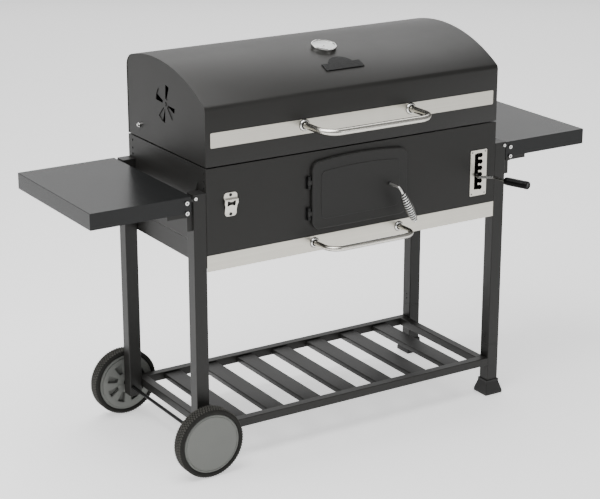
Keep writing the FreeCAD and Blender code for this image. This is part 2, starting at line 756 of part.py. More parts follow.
def make_axle():
    faces = wheel_faces()
    start = faces["front"][1] + D.rim_disc + 3
    end = faces["rear"][1] - D.rim_disc - 3
    bar = rod("axle_bar", "y", D.axle_rad, end - start, AXLE_X, start, AXLE_Z)
    collars = []
    for name, y0 in (("front", FRONT - 4), ("rear", BACK)):
        collars.append(rod("axle_collar_" + name, "y", D.axle_rad + 4, 4, AXLE_X, y0, AXLE_Z))
    keep("axle", fuse("axle", [bar] + collars))


def make_wheel(name, inner_y, outer_y):
    """Rubber tyre and a hollow rim: smooth outer disc, windowed inner disc."""
    low = min(inner_y.number, outer_y.number)
    y0, y1 = (outer_y, inner_y) if outer_y.number == low else (inner_y, outer_y)
    outwards = 1 if outer_y.number > inner_y.number else -1
    tyre = new_body(name + "_tyre_body")
    tread = tyre.newObject("PartDesign::AdditiveCylinder", name + "_tread")
    tread.Placement = FreeCAD.Placement(V(), TURNS["y"])
    bind(tread, Radius=D.wheel_rad, Height=D.wheel_wide)
    put(tread, AXLE_X, y0, AXLE_Z)
    fillet(tyre, name + "_shoulder", tread, D.tread_soft, lambda edge: edge.Closed)
    well = rod(name + "_well", "y", D.rim_rad, D.wheel_wide + 2, AXLE_X, y0 - 1, AXLE_Z)
    keep(name + "_tyre", cut(name + "_tyre_ring", tyre, [well]))

    middle = (inner_y + outer_y) / 2
    r0 = middle - D.rim_wide / 2
    drum = rod(name + "_drum", "y", D.rim_rad, D.rim_wide, AXLE_X, r0, AXLE_Z)
    hollow = rod(name + "_hollow", "y", D.rim_rad - D.rim_wall, D.rim_wide - D.rim_disc * 2,
                 AXLE_X, r0 + D.rim_disc, AXLE_Z)
    hub = rod(name + "_hub", "y", D.hub_rad, D.rim_wide - 2, AXLE_X, r0 + 1, AXLE_Z)
    inner_face = r0 + D.rim_wide - D.rim_disc if outwards < 0 else r0
    windows = []
    count = int(D.window_count.number)
    for index in range(count):
        twist = 360.0 * index / count
        slice_ = rod("%s_slice_%d" % (name, index), "y", D.rim_rad - D.rim_wall * 2 - 4,
                     D.rim_disc + 2, AXLE_X, inner_face - 1, AXLE_Z,
                     size(360) / D.window_count * 0.62, twist)
        core = rod("%s_core_%d" % (name, index), "y", D.hub_rad + 10, D.rim_disc + 4,
                   AXLE_X, inner_face - 2, AXLE_Z)
        windows.append(cut("%s_window_%d" % (name, index), slice_, [core]))
    shell = cut(name + "_shell", drum, [hollow] + windows)
    bore_start = r0 + D.rim_disc if outwards < 0 else r0 - 1
    bore = rod(name + "_bore", "y", D.axle_rad + D.run_clear, D.rim_wide - D.rim_disc + 1,
               AXLE_X, bore_start, AXLE_Z)
    keep(name + "_rim", cut(name + "_rim", fuse(name + "_wheel", [shell, hub]), [bore]))


# ---------------------------------------------------------------- lid
def lid_form(name, inset, x0, x1, low):
    """Solid with the lid's profile, inset on every side, from x0 to x1."""
    form = new_body(name)
    y0 = FRONT + inset
    y1 = BACK - inset
    radius = D.lid_arc - inset
    reach0 = y0 - CROWN_Y
    reach1 = y1 - CROWN_Y

    def roof(reach):
        number = ARC_Z.number + math.sqrt(radius.number ** 2 - reach.number ** 2)
        text = "(%s + sqrt(%s ^ 2 - %s ^ 2))" % (ARC_Z.text, radius.text, reach.text)
        return Size(text, number)

    corners = [(y0, low), (y1, low), (y1, roof(reach1)), (y0, roof(reach0))]
    bows = {2: (radius, (CROWN_Y, LID_TOP - inset))}
    sketch = outline(form, name + "_profile", "YZ_Plane", corners, bows)
    solid = pad(form, name + "_pad", sketch, size(x1) - x0)

    def brow(edge):
        return ALONG_X(edge) and edge.CenterOfMass.z > low.number + 50 \
            and edge.CenterOfMass.y < CROWN_Y.number

    def nape(edge):
        return ALONG_X(edge) and edge.CenterOfMass.z > low.number + 50 \
            and edge.CenterOfMass.y > CROWN_Y.number

    solid = fillet(form, name + "_brow", solid, D.lid_brow - inset, brow)
    solid = fillet(form, name + "_nape", solid, D.lid_nape - inset, nape)
    return shift(form, x0, 0, 0)


def vent_sectors(prefix, x, length, turn):
    """Four wedge-shaped openings round the vent centre."""
    pieces = []
    for index in range(4):
        twist = 90 * index + turn
        fan = rod("%s_fan_%d" % (prefix, index), "x", D.vent_rad, length, x, VENT_Y, VENT_Z,
                  D.vent_span, twist)
        hub = rod("%s_hub_%d" % (prefix, index), "x", D.vent_core, length + 2,
                  x - 1, VENT_Y, VENT_Z)
        pieces.append(cut("%s_sector_%d" % (prefix, index), fan, [hub]))
    return pieces


def make_lid():
    outer = lid_form("lid_outer", size(0), -HALF, HALF, LID_LOW)
    inner = lid_form("lid_inner", D.wall, -HALF - 5, HALF + 5, LID_LOW - 5)
    stem = Part.makeCylinder(D.gauge_stem.number + D.run_clear.number, 40, V(0, 0, -20))
    stem_hole = on_roof("stem_hole", stem, D.gauge_deep)
    keep("lid_shell", cut("lid_shell", outer, [inner, stem_hole]))
    x0 = -HALF + D.end_inset
    end = lid_form("lid_end", D.wall, x0, x0 + D.wall, LID_LOW)
    pin = rod("vent_pin_hole", "x", D.vent_pin + D.run_clear, D.wall + 2, x0 - 1,
              VENT_Y, VENT_Z)
    stay = rod("stay_hole", "x", 4, D.wall + 2, x0 - 1, BACK - D.stay_in,
               LID_LOW + D.stay_up)
    openings = vent_sectors("end_vent", x0 - 1, D.wall + 2, 3.0)
    left = cut("lid_left_end", end, openings + [pin, stay])
    keep("lid_left_end", left)
    keep("lid_right_end", mirror("lid_right_end", left))


def make_vents():
    """Turning vent discs inside the lid ends, each on its rivet, with a finger tab."""
    x0 = -HALF + D.end_inset + D.wall + 0.35
    disc = rod("vent_plate", "x", D.vent_disc, D.vent_sheet, x0, VENT_Y, VENT_Z)
    openings = vent_sectors("disc_vent", x0 - 1, D.vent_sheet + 2, 3.0 - D.vent_turn.number)
    plate = cut("vent_cut", disc, openings)
    pin = rod("vent_rivet", "x", D.vent_pin, D.vent_sheet + D.wall + 0.7 + 1.2,
              x0 - D.wall - 0.7 - 1.2, VENT_Y, VENT_Z)
    head = rod("vent_head", "x", D.vent_pin + 2.5, 1.2, x0 - D.wall - 0.7 - 1.2,
               VENT_Y, VENT_Z)
    left = fuse("vent_left", [plate, pin, head])
    keep("vent_left", left)
    keep("vent_right", mirror("vent_right", left))


def make_lid_strip():
    """Brushed strip along the lid's front."""
    strip = new_body("lid_trim_strip")
    plate = block(strip, "strip_plate", "Additive", -D.strip_half, D.strip_half,
                  FRONT - D.strip_sheet, FRONT, STRIP_Z, STRIP_Z + D.strip_tall)
    fillet(strip, "strip_corners", plate, D.strip_corner, ALONG_Y)
    keep("lid_trim_strip", strip)


def torus_bend(name, major, minor, x, y, z, left):
    """Quarter bend in the horizontal plane, from the foot to the bar of a handle."""
    bend = DOC.addObject("Part::Torus", name)
    bend.Placement.Rotation = FreeCAD.Rotation(V(0, 0, 1), 180 if left else 270)
    bind(bend, Radius1=major, Radius2=minor, Angle3=90)
    return put(bend, x, y, z)


def make_handle(name, half, out, radius, bend, face, z):
    """Bent tube: two feet, two quarter bends and a straight bar, with a bezel at each foot."""
    bar_y = face - out
    pieces = [rod(name + "_bar", "x", radius, (half - bend) * 2, -half + bend, bar_y, z)]
    for tag, sign in (("left", -1), ("right", 1)):
        x = half * sign
        centre = (half - bend) * sign
        pieces.append(rod("%s_foot_%s" % (name, tag), "y", radius, out - bend, x,
                          bar_y + bend, z))
        pieces.append(torus_bend("%s_bend_%s" % (name, tag), bend, radius, centre,
                                 bar_y + bend, z, sign < 0))
    keep(name, fuse(name, pieces))
    bezels = []
    for tag, sign in (("left", -1), ("right", 1)):
        x = half * sign
        ring = DOC.addObject("Part::Cone", "%s_bezel_%s" % (name, tag))
        ring.Placement.Rotation = FreeCAD.Rotation(V(1, 0, 0), -90)
        bind(ring, Radius1=radius + D.bezel_over * 0.55, Radius2=radius + D.bezel_over,
             Height=D.bezel_tall)
        put(ring, x, face - D.bezel_tall, z)
        hole = rod("%s_bezel_hole_%s" % (name, tag), "y", radius, D.bezel_tall + 2, x,
                   face - D.bezel_tall - 1, z)
        bezels.append(cut("%s_ring_%s" % (name, tag), ring, [hole]))
    keep(name + "_bezels", compound(name + "_bezels", bezels))


def roof_frame(behind):
    """Point on the roof at a distance behind the lid's front face, and the roof's slope."""
    y = FRONT.number + behind.number
    run = CROWN_Y.number - y
    angle = math.asin(run / D.lid_arc.number)
    z = ARC_Z.number + math.sqrt(D.lid_arc.number ** 2 - run ** 2)
    turn = FreeCAD.Rotation(V(1, 0, 0), math.degrees(angle))
    return FreeCAD.Placement(V(0, y, z), turn)


def on_roof(name, shape, behind):
    """A piece whose shape is made flat and then seated on the roof's slope."""
    piece = DOC.addObject("Part::Feature", name)
    piece.Shape = shape
    piece.Placement = roof_frame(behind)
    return piece


def sag(reach):
    """How far the roof falls away from its tangent plane at a distance."""
    arc = D.lid_arc.number
    return arc - math.sqrt(arc ** 2 - reach ** 2)


def make_gauge():
    """Thermometer: cupped case with rolled bezel, dial, glass, needle and stem."""
    r = D.gauge_rad.number
    tall = D.gauge_tall.number
    lip = D.gauge_lip.number
    floor = tall - 7.5
    base = -sag(r) - 0.2
    cup = Part.makeCylinder(r, tall - base, V(0, 0, base))
    cup = cup.makeFillet(2.4, [e for e in cup.Edges if e.Closed and e.CenterOfMass.z > 1])
    well = Part.makeCylinder(r - lip, tall, V(0, 0, floor))
    roof = Part.makeCylinder(D.lid_arc.number, 4 * r, V(-2 * r, 0, -D.lid_arc.number), V(1, 0, 0))
    stem = Part.makeCylinder(D.gauge_stem.number, D.gauge_reach.number + 6,
                             V(0, 0, floor - D.gauge_reach.number - 6))
    nut = Part.makeCylinder(9, 5, V(0, 0, -5 - D.wall.number - sag(9)))
    case = cup.cut(well).cut(roof).fuse([stem, nut])
    keep("gauge_case", on_roof("gauge_case", case, D.gauge_deep))
    dial = Part.makeCylinder(r - lip, 0.8, V(0, 0, floor))
    post = Part.makeCylinder(0.6, 3.0, V(0, 0, floor + 0.8))
    keep("gauge_dial", on_roof("gauge_dial", dial.fuse(post), D.gauge_deep))
    glass = Part.makeCylinder(r - lip, 1.2, V(0, 0, floor + 4.6))
    keep("gauge_glass", on_roof("gauge_glass", glass, D.gauge_deep))
    blade = Part.makeBox(1.6, r * 0.62, 0.5, V(-0.8, -r * 0.12, floor + 1.4))
    ring = Part.makeCylinder(2.6, 1.0, V(0, 0, floor + 1.4))
    hole = Part.makeCylinder(0.6 + D.run_clear.number, 3, V(0, 0, floor + 1))
    blade = blade.fuse(ring).cut(hole)
    blade.rotate(V(0, 0, 0), V(0, 0, 1), 128)
    keep("gauge_needle", on_roof("gauge_needle", blade, D.gauge_deep))


def make_name_plate():
    """Blank arched plate that follows the roof."""
    half = D.plate_half.number
    low, top, peak = D.plate_low.number, D.plate_top.number, D.plate_peak.number
    arc_r = D.lid_arc.number
    left = [V(-half, low, 0), V(-half, top, 0), V(-half * 0.62, top, 0)]
    right = [V(half * 0.62, top, 0), V(half, top, 0), V(half, low, 0)]
    edges = [Part.makeLine(left[0], left[1]), Part.makeLine(left[1], left[2]),
             Part.Arc(left[2], V(0, peak, 0), right[0]).toShape(),
             Part.makeLine(right[0], right[1]), Part.makeLine(right[1], right[2]),
             Part.makeLine(right[2], left[0])]
    prism = Part.Face(Part.Wire(edges)).extrude(V(0, 0, 20))
    prism.translate(V(0, 0, -10))
    outer = Part.makeCylinder(arc_r + D.plate_sheet.number, 4 * half, V(-2 * half, 0, -arc_r),
                              V(1, 0, 0))
    inner = Part.makeCylinder(arc_r, 4 * half, V(-2 * half, 0, -arc_r), V(1, 0, 0))
    plate = prism.common(outer).cut(inner)
    keep("name_plate", on_roof("name_plate", plate, D.plate_deep))


def make_lid_hinges():
    """Two rear hinges: leaf and knuckles on the lid, leaf, knuckle and pin on the firebox."""
    fixed = []
    moving = []
    third = D.hinge_leaf / 3
    for tag, sign in (("left", -1), ("right", 1)):
        x0 = D.hinge_place * sign - D.hinge_leaf / 2
        x1 = x0 + D.hinge_leaf
        leaf = box("hinge_low_leaf_" + tag, x0, x1, BACK, BACK + 1.5,
                   D.rim_top - 26, D.rim_top - 2)
        neck = box("hinge_low_neck_" + tag, x0 + third + 0.4, x0 + third * 2 - 0.4,
                   BACK + 0.7, BACK + 2.2, D.rim_top - 4, HINGE_Z)
        eye = rod("hinge_low_eye_" + tag, "x", D.hinge_eye, third - 0.8, x0 + third + 0.4,
                  HINGE_Y, HINGE_Z)
        pin = rod("hinge_pin_" + tag, "x", D.hinge_pin, D.hinge_leaf + 4, x0 - 2,
                  HINGE_Y, HINGE_Z)
        fixed.append(fuse("hinge_fixed_" + tag, [leaf, neck, eye, pin]))
        pieces = [box("hinge_top_leaf_" + tag, x0, x1, BACK, BACK + 1.5,
                      HINGE_Z + 8, HINGE_Z + 30)]
        for end, start in (("a", x0), ("b", x0 + third * 2)):
            name = tag + end
            pieces.append(box("hinge_top_neck_" + name, start, start + third,
                              BACK, BACK + 1.5, HINGE_Z, HINGE_Z + 9))
            pieces.append(rod("hinge_top_eye_" + name, "x", D.hinge_eye, third, start,
                              HINGE_Y, HINGE_Z))
        whole = fuse("hinge_top_" + tag, pieces)
        hole = rod("hinge_top_hole_" + tag, "x", D.hinge_pin + D.run_clear,
                   D.hinge_leaf + 10, x0 - 5, HINGE_Y, HINGE_Z)
        moving.append(cut("hinge_moving_" + tag, whole, [hole]))
    keep("lid_hinge_bases", compound("lid_hinge_bases", fixed))
    keep("lid_hinge_leaves", compound("lid_hinge_leaves", moving))


def make_stay_bolts():
    """Bolt with nut through each lid end."""
    x0 = -HALF + D.end_inset
    y = BACK - D.stay_in
    z = LID_LOW + D.stay_up
    shank = rod("stay_shank", "x", 4, 30, x0 - 9, y, z)
    nut = rod("stay_nut", "x", 6.5, 5, x0 - 5, y, z)
    head = rod("stay_head", "x", 7, 4, x0 + D.wall, y, z)
    left = fuse("stay_left", [shank, nut, head])
    keep("lid_stay_bolts", compound("lid_stay_bolts", [left, mirror("stay_right", left)]))


# ---------------------------------------------------------------- fire door
def door_profile(part_body, name, inset, depth):
    x0 = D.door_left + inset
    x1 = D.door_right - inset
    z0 = D.door_low + inset
    z1 = D.door_shoulder - inset
    middle = (D.door_left + D.door_right) / 2
    half = (x1 - x0) / 2
    rise = D.door_bow.number - math.sqrt(D.door_bow.number ** 2 - half.number ** 2)
    corners = [(x0, z0), (x1, z0), (x1, z1), (x0, z1)]
    bows = {2: (D.door_bow, (middle, z1.number + rise))}
    sketch = outline(part_body, name, "XZ_Plane", corners, bows)
    return pad(part_body, name + "_pad", sketch, depth)


def make_door():
    """Pressed door with an arched top, rounded face edges and a raised inner field."""
    door = new_body("fire_door")
    plate = door_profile(door, "door_outline", size(0), D.door_thick)
    plate = fillet(door, "door_corners", plate, D.door_corner, ALONG_Y)
    DOC.recompute()

    def face_edge(edge):
        return edge.BoundBox.YMax < -D.door_thick.number + 0.01

    fillet(door, "door_soft_edge", plate, D.door_soft, face_edge)
    shift(door, 0, FRONT - D.door_gap, 0)
    hollow = new_body("door_hollow")
    well = door_profile(hollow, "door_well", D.door_wall, D.door_thick - D.door_wall)
    fillet(hollow, "door_well_corners", well, D.door_corner - D.door_wall, ALONG_Y)
    shift(hollow, 0, FRONT - D.door_gap, 0)
    field = new_body("door_field")
    raised = door_profile(field, "door_field_line", D.frame_inset,
                          D.door_thick + D.frame_lift)
    raised = fillet(field, "door_field_corners", raised, D.door_corner - 7, ALONG_Y)

    def field_edge(edge):
        return edge.BoundBox.YMax < -(D.door_thick + D.frame_lift).number + 0.01

    fillet(field, "door_field_soft", raised, D.frame_lift * 0.8, field_edge)
    shift(field, 0, FRONT - D.door_gap, 0)
    boss_x = D.knob_x
    spindle = rod("spindle_hole", "y", D.knob_rad + D.run_clear, 40, boss_x,
                  FRONT - 30, D.knob_z)
    solid = cut("door_pressed", fuse("door_raised", [door, field]), [hollow])
    eyes = []
    holes = []
    pin_x = D.door_left - D.door_pin_off
    pin_y = FRONT - D.door_pin_out
    for tag, z in (("low", D.door_hinge_low), ("top", D.door_hinge_top)):
        eye = rod("door_eye_" + tag, "z", D.door_eye, D.door_eye_long, pin_x, pin_y,
                  z - D.door_eye_long / 2)
        arm = box("door_arm_" + tag, pin_x, D.door_left + 3, pin_y - 1.5, pin_y + 1.5,
                  z - D.door_eye_long / 2, z + D.door_eye_long / 2)
        eyes += [eye, arm]
        holes.append(rod("door_bore_" + tag, "z", D.door_pin + D.run_clear,
                         D.door_eye_long + 2, pin_x, pin_y, z - D.door_eye_long / 2 - 1))
    keep("fire_door", cut("fire_door", fuse("door_with_eyes", [solid] + eyes),
                          [spindle] + holes))


def make_door_hinges():
    """Fixed knuckles and pins of the door hinges, on plates on the front panel."""
    pieces = []
    pin_x = D.door_left - D.door_pin_off
    pin_y = FRONT - D.door_pin_out
    reach = D.door_eye_long * 1.5 + D.eye_gap
    for tag, z in (("low", D.door_hinge_low), ("top", D.door_hinge_top)):
        plate = box("door_leaf_" + tag, pin_x - 9, pin_x + 1, FRONT - 1.2, FRONT,
                    z - reach, z + reach)
        parts = [plate]
        for end, start in (("a", z - reach), ("b", z + D.door_eye_long / 2 + D.eye_gap)):
            parts.append(rod("door_knuckle_%s%s" % (tag, end), "z", D.door_eye,
                             D.door_eye_long, pin_x, pin_y, start))
            parts.append(box("door_foot_%s%s" % (tag, end), pin_x - 2, pin_x + 1,
                             pin_y, FRONT - 0.5, start, start + D.door_eye_long))
        parts.append(rod("door_pin_" + tag, "z", D.door_pin, reach * 2 + 3, pin_x, pin_y,
                         z - reach - 1.5))
        pieces.append(fuse("door_hinge_" + tag, parts))
    keep("door_hinges", compound("door_hinges", pieces))


def grip_point(distance):
    """A point along the door handle's tilted grip, from its bend."""
    tilt = math.radians(D.knob_tilt.number)
    x = D.knob_x.number + math.sin(tilt) * distance
    y = FRONT.number - D.door_gap.number - D.door_thick.number - D.knob_out.number
    return V(x, y, D.knob_z.number - math.cos(tilt) * distance)


def make_door_handle():
    """Bent rod through the door with a tilted grip, its latch tongue inside."""
    r = D.knob_rad.number
    bend = r * 2.6
    start = V(D.knob_x.number, FRONT.number + 9.0, D.knob_z.number)
    corner = grip_point(0)
    end = grip_point(D.coil_start.number + D.coil_long.number + 3)
    down = (end - corner).normalize()
    into = corner + V(0, bend, 0)
    out = corner + down * bend
    middle = corner + (V(0, 1, 0) + down) * (bend * (1 - math.sqrt(0.5)))
    path = Part.Wire([Part.makeLine(start, into), Part.Arc(into, middle, out).toShape(),
                      Part.makeLine(out, end)])
    disc = Part.Wire(Part.makeCircle(r, start, V(0, 1, 0)))
    bar = path.makePipeShell([disc], True, False)
    ball = Part.makeSphere(D.knob_ball.number, end)
    tip = V(D.latch_long.number, 0, 0)
    tongue = Part.makeBox(tip.x + 8, 2.5, 14, V(start.x - 8, start.y - 3, start.z - 7))
    collar = Part.makeCylinder(r + 2.2, 1.8, V(start.x, FRONT.number - D.door_gap.number
                               - D.door_thick.number - D.frame_lift.number - 2.2,
                               start.z), V(0, 1, 0))
    handle = DOC.addObject("Part::Feature", "door_handle")
    handle.Shape = bar.fuse([ball, tongue, collar])
    handle.Placement = FreeCAD.Placement()
    keep("door_handle", handle)
    rings = []
    count = int(D.coil_rings.number)
    for index in range(count):
        share = (index + 0.5) / count
        belly = math.sin(math.pi * share) ** 0.8
        major = D.coil_neck.number + (D.coil_belly.number - D.coil_neck.number) * belly
        spot = grip_point(D.coil_start.number + D.coil_long.number * share)
        rings.append(Part.makeTorus(major, D.coil_wire.number, spot, down))
    coil = DOC.addObject("Part::Feature", "door_coil")
    coil.Shape = Part.makeCompound(rings)
    coil.Placement = FreeCAD.Placement()
    keep("door_coil", coil)


# ---------------------------------------------------------------- drawer
def make_drawer():
    """Ash tray with side lips that ride on runners, and its brushed front."""
    sheet = D.drawer_sheet
    reach = HALF - D.drawer_play
    front = box("drawer_front", -reach, reach, FRONT, FRONT + sheet, D.drawer_low, D.drawer_top)
    keep("drawer_front", front)
    y0 = FRONT + sheet
    y1 = BACK - D.tray_back
    tray = new_body("ash_drawer")
    block(tray, "tray_outer", "Additive", -D.tray_half, D.tray_half, y0, y1,
          D.tray_low, D.tray_top)
    block(tray, "tray_lips", "Additive", -D.tray_half - 9, D.tray_half + 9, y0 + 6, y1,
          D.tray_top - sheet, D.tray_top)
    block(tray, "tray_hollow", "Subtractive", -D.tray_half + sheet, D.tray_half - sheet,
          y0 + sheet, y1 - sheet, D.tray_low + sheet, D.tray_top + 1)
    keep("ash_drawer", tray)
    top = D.tray_top - sheet - D.runner_gap
    inner = HALF - D.wall
    seat = box("runner_seat", -inner, -D.tray_half - 2, FRONT + 16, y1, top - D.wall, top)
    web = box("runner_web", -inner, -inner + D.wall, FRONT + 16, y1, top - 18, top)
    left = fuse("runner_left", [seat, web])
    keep("drawer_runners", compound("drawer_runners", [left, mirror("runner_right", left)]))


# ---------------------------------------------------------------- coal pan and lever
def make_pan():
    half = HALF - D.wall - D.pan_side
    pan = new_body("coal_pan")
    y0 = FRONT + D.wall + D.pan_front
    y1 = BACK - D.wall - D.pan_back
    top = PAN_LOW + D.pan_tall
    solid = block(pan, "pan_outer", "Additive", -half, half, y0, y1, PAN_LOW, top)
    fillet(pan, "pan_corners", solid, 12, ALONG_Z)
    w = D.pan_sheet
    block(pan, "pan_hollow", "Subtractive", -half + w, half - w, y0 + w, y1 - w,
          PAN_LOW + w, top + 1)
    keep("coal_pan", pan)


def make_lever():
    """Lifting frame: pivot bar in the side panels, cross bar under the pan, handle rod."""
    r = D.lever_rad
    z = D.lever_z
    inner = HALF - 0.3
    pivot = rod("lever_pivot", "x", r, inner * 2, -inner, PIVOT_Y, z)
    side = HALF - D.wall - D.lever_side
    cross = rod("lever_cross", "x", r, side * 2, -side, BAR_Y, z)
    left = rod("lever_left_arm", "y", r, PIVOT_Y - BAR_Y, -side, BAR_Y, z)
    jog_y = FRONT + D.wall + D.lever_jog
    right = rod("lever_right_arm", "y", r, PIVOT_Y - jog_y, side, jog_y, z)
    jog = rod("lever_jog_bar", "x", r, side - D.lever_x, D.lever_x, jog_y, z)
    bend_y = FRONT - 16
    exit_rod = rod("lever_exit", "y", r, jog_y - bend_y, D.lever_x, bend_y, z)
    welds = []
    for index, (x, y) in enumerate(((side, jog_y), (D.lever_x, jog_y), (side, PIVOT_Y),
                                    (-side, PIVOT_Y), (side, BAR_Y), (-side, BAR_Y))):
        weld = DOC.addObject("Part::Sphere", "lever_weld_%d" % index)
        bind(weld, Radius=r + D.weld_over)
        welds.append(put(weld, x, y, z))
    frame = fuse("lever_frame", [pivot, cross, left, right, jog, exit_rod] + welds)
    start = V(D.lever_x.number, bend_y.number, z.number)
    knee = V(start.x + 33.0, start.y - 22.0, z.number)
    far = V(D.lever_far.number, FRONT.number - D.lever_out.number - D.grip_long.number, z.number)
    grip_dir = (far - V(knee.x + 4, FRONT.number - D.lever_out.number, z.number)).normalize()
    grip_start = far - grip_dir * D.grip_long.number
    arms = []
    for p, q in ((start, knee), (knee, grip_start + grip_dir * 12)):
        arms.append(Part.makeCylinder(r.number, (q - p).Length, p, q - p))
    joints = [Part.makeSphere(r.number + 0.15, p) for p in (start, knee)]
    handle = DOC.addObject("Part::Feature", "lever_rod")
    handle.Shape = arms[0].fuse(arms[1:] + joints)
    handle.Placement = FreeCAD.Placement()
    keep("lift_lever", fuse("lift_lever", [frame, handle]))
    sleeve = Part.makeCylinder(D.grip_rad.number, D.grip_long.number, grip_start, grip_dir)
    rims = [e for e in sleeve.Edges if e.Closed]
    sleeve = sleeve.makeFillet(3.5, rims)
    sleeve = sleeve.cut(arms[1])
    grip = DOC.addObject("Part::Feature", "lever_grip")
    grip.Shape = sleeve
    grip.Placement = FreeCAD.Placement()
    keep("lever_grip", grip)


def make_height_plate():
    """Slot plate with hooked notches beside the lever's channel."""
    plate = new_body("height_plate")
    sheet = block(plate, "height_sheet", "Additive", D.notch_left, D.notch_right,
                  FRONT - D.notch_sheet, FRONT, D.notch_low, D.notch_top)
    fillet(plate, "height_corners", sheet, 3, ALONG_Y)
    block(plate, "height_slot", "Subtractive", D.lever_x - D.slot_half,
          D.lever_x + D.slot_half, FRONT - D.notch_sheet - 1, FRONT + 1,
          D.slot_low, D.slot_top)
    tools = []
    for index in range(int(D.hook_count.number)):
        z = D.hook_first + D.hook_pitch * index
        x1 = D.lever_x + D.hook_reach - D.hook_half
        tools.append(box("hook_%d" % index, D.lever_x, x1, FRONT - 5, FRONT + 1,
                         z - D.hook_half, z + D.hook_half))
        tools.append(rod("hook_end_%d" % index, "y", D.hook_half + 0.8, 6, x1, FRONT - 5, z - 0.8))
    keep("height_plate", cut("height_plate_notched", plate, tools))


def make_opener():
    """Bottle opener: fixed upper plate, a lip that steps out and a tongue back to the panel."""
    s = D.opener_sheet.number
    out = D.opener_out.number
    low, step, top = D.opener_low.number, D.opener_step.number, D.opener_top.number
    lip = step - 11
    tail = low + 13
    outer = [V(0, 0, top), V(0, -s, top), V(0, -s, step + 1), V(0, -out, step - 3),
             V(0, -out, lip), V(0, -s, tail), V(0, -s, low), V(0, 0, low),
             V(0, 0, tail - 1), V(0, -out + s, lip - 1), V(0, -out + s, step - 4 + s * 0.4),
             V(0, 0, step)]
    half = D.opener_half.number
    strip = Part.Face(Part.makePolygon(outer + [outer[0]])).extrude(V(half * 2, 0, 0))
    strip.translate(V(-half, 0, 0))
    slim = half - 2.5
    mask = [V(-half, -30, top), V(half, -30, top), V(half, -30, lip - 4),
            V(slim, -30, lip - 10), V(slim, -30, low), V(-slim, -30, low),
            V(-slim, -30, lip - 10), V(-half, -30, lip - 4)]
    body_mask = Part.Face(Part.makePolygon(mask + [mask[0]])).extrude(V(0, 40, 0))
    corners = [e for e in body_mask.Edges if ALONG_Y(e)
               and (e.CenterOfMass.z > top - 1 or e.CenterOfMass.z < low + 1)]
    body_mask = body_mask.makeFillet(9, corners)
    strip = strip.common(body_mask)
    z = (lip + step) / 2 - 8
    waist = [V(-12, -30, z - 8.5), V(-3, -30, z - 4.2), V(3, -30, z - 4.2), V(12, -30, z - 8.5),
             V(12, -30, z + 8.5), V(3, -30, z + 4.2), V(-3, -30, z + 4.2), V(-12, -30, z + 8.5)]
    bow = Part.Face(Part.makePolygon(waist + [waist[0]])).extrude(V(0, 40, 0))
    bow = bow.makeFillet(2.2, [e for e in bow.Edges if ALONG_Y(e) and abs(e.CenterOfMass.x) > 5])
    strip = strip.cut(bow)
    opener = DOC.addObject("Part::Feature", "bottle_opener")
    opener.Shape = strip
    opener.Placement = FreeCAD.Placement(V(OPENER_X.number, FRONT.number, 0),
                                         FreeCAD.Rotation())
    keep("bottle_opener", opener)


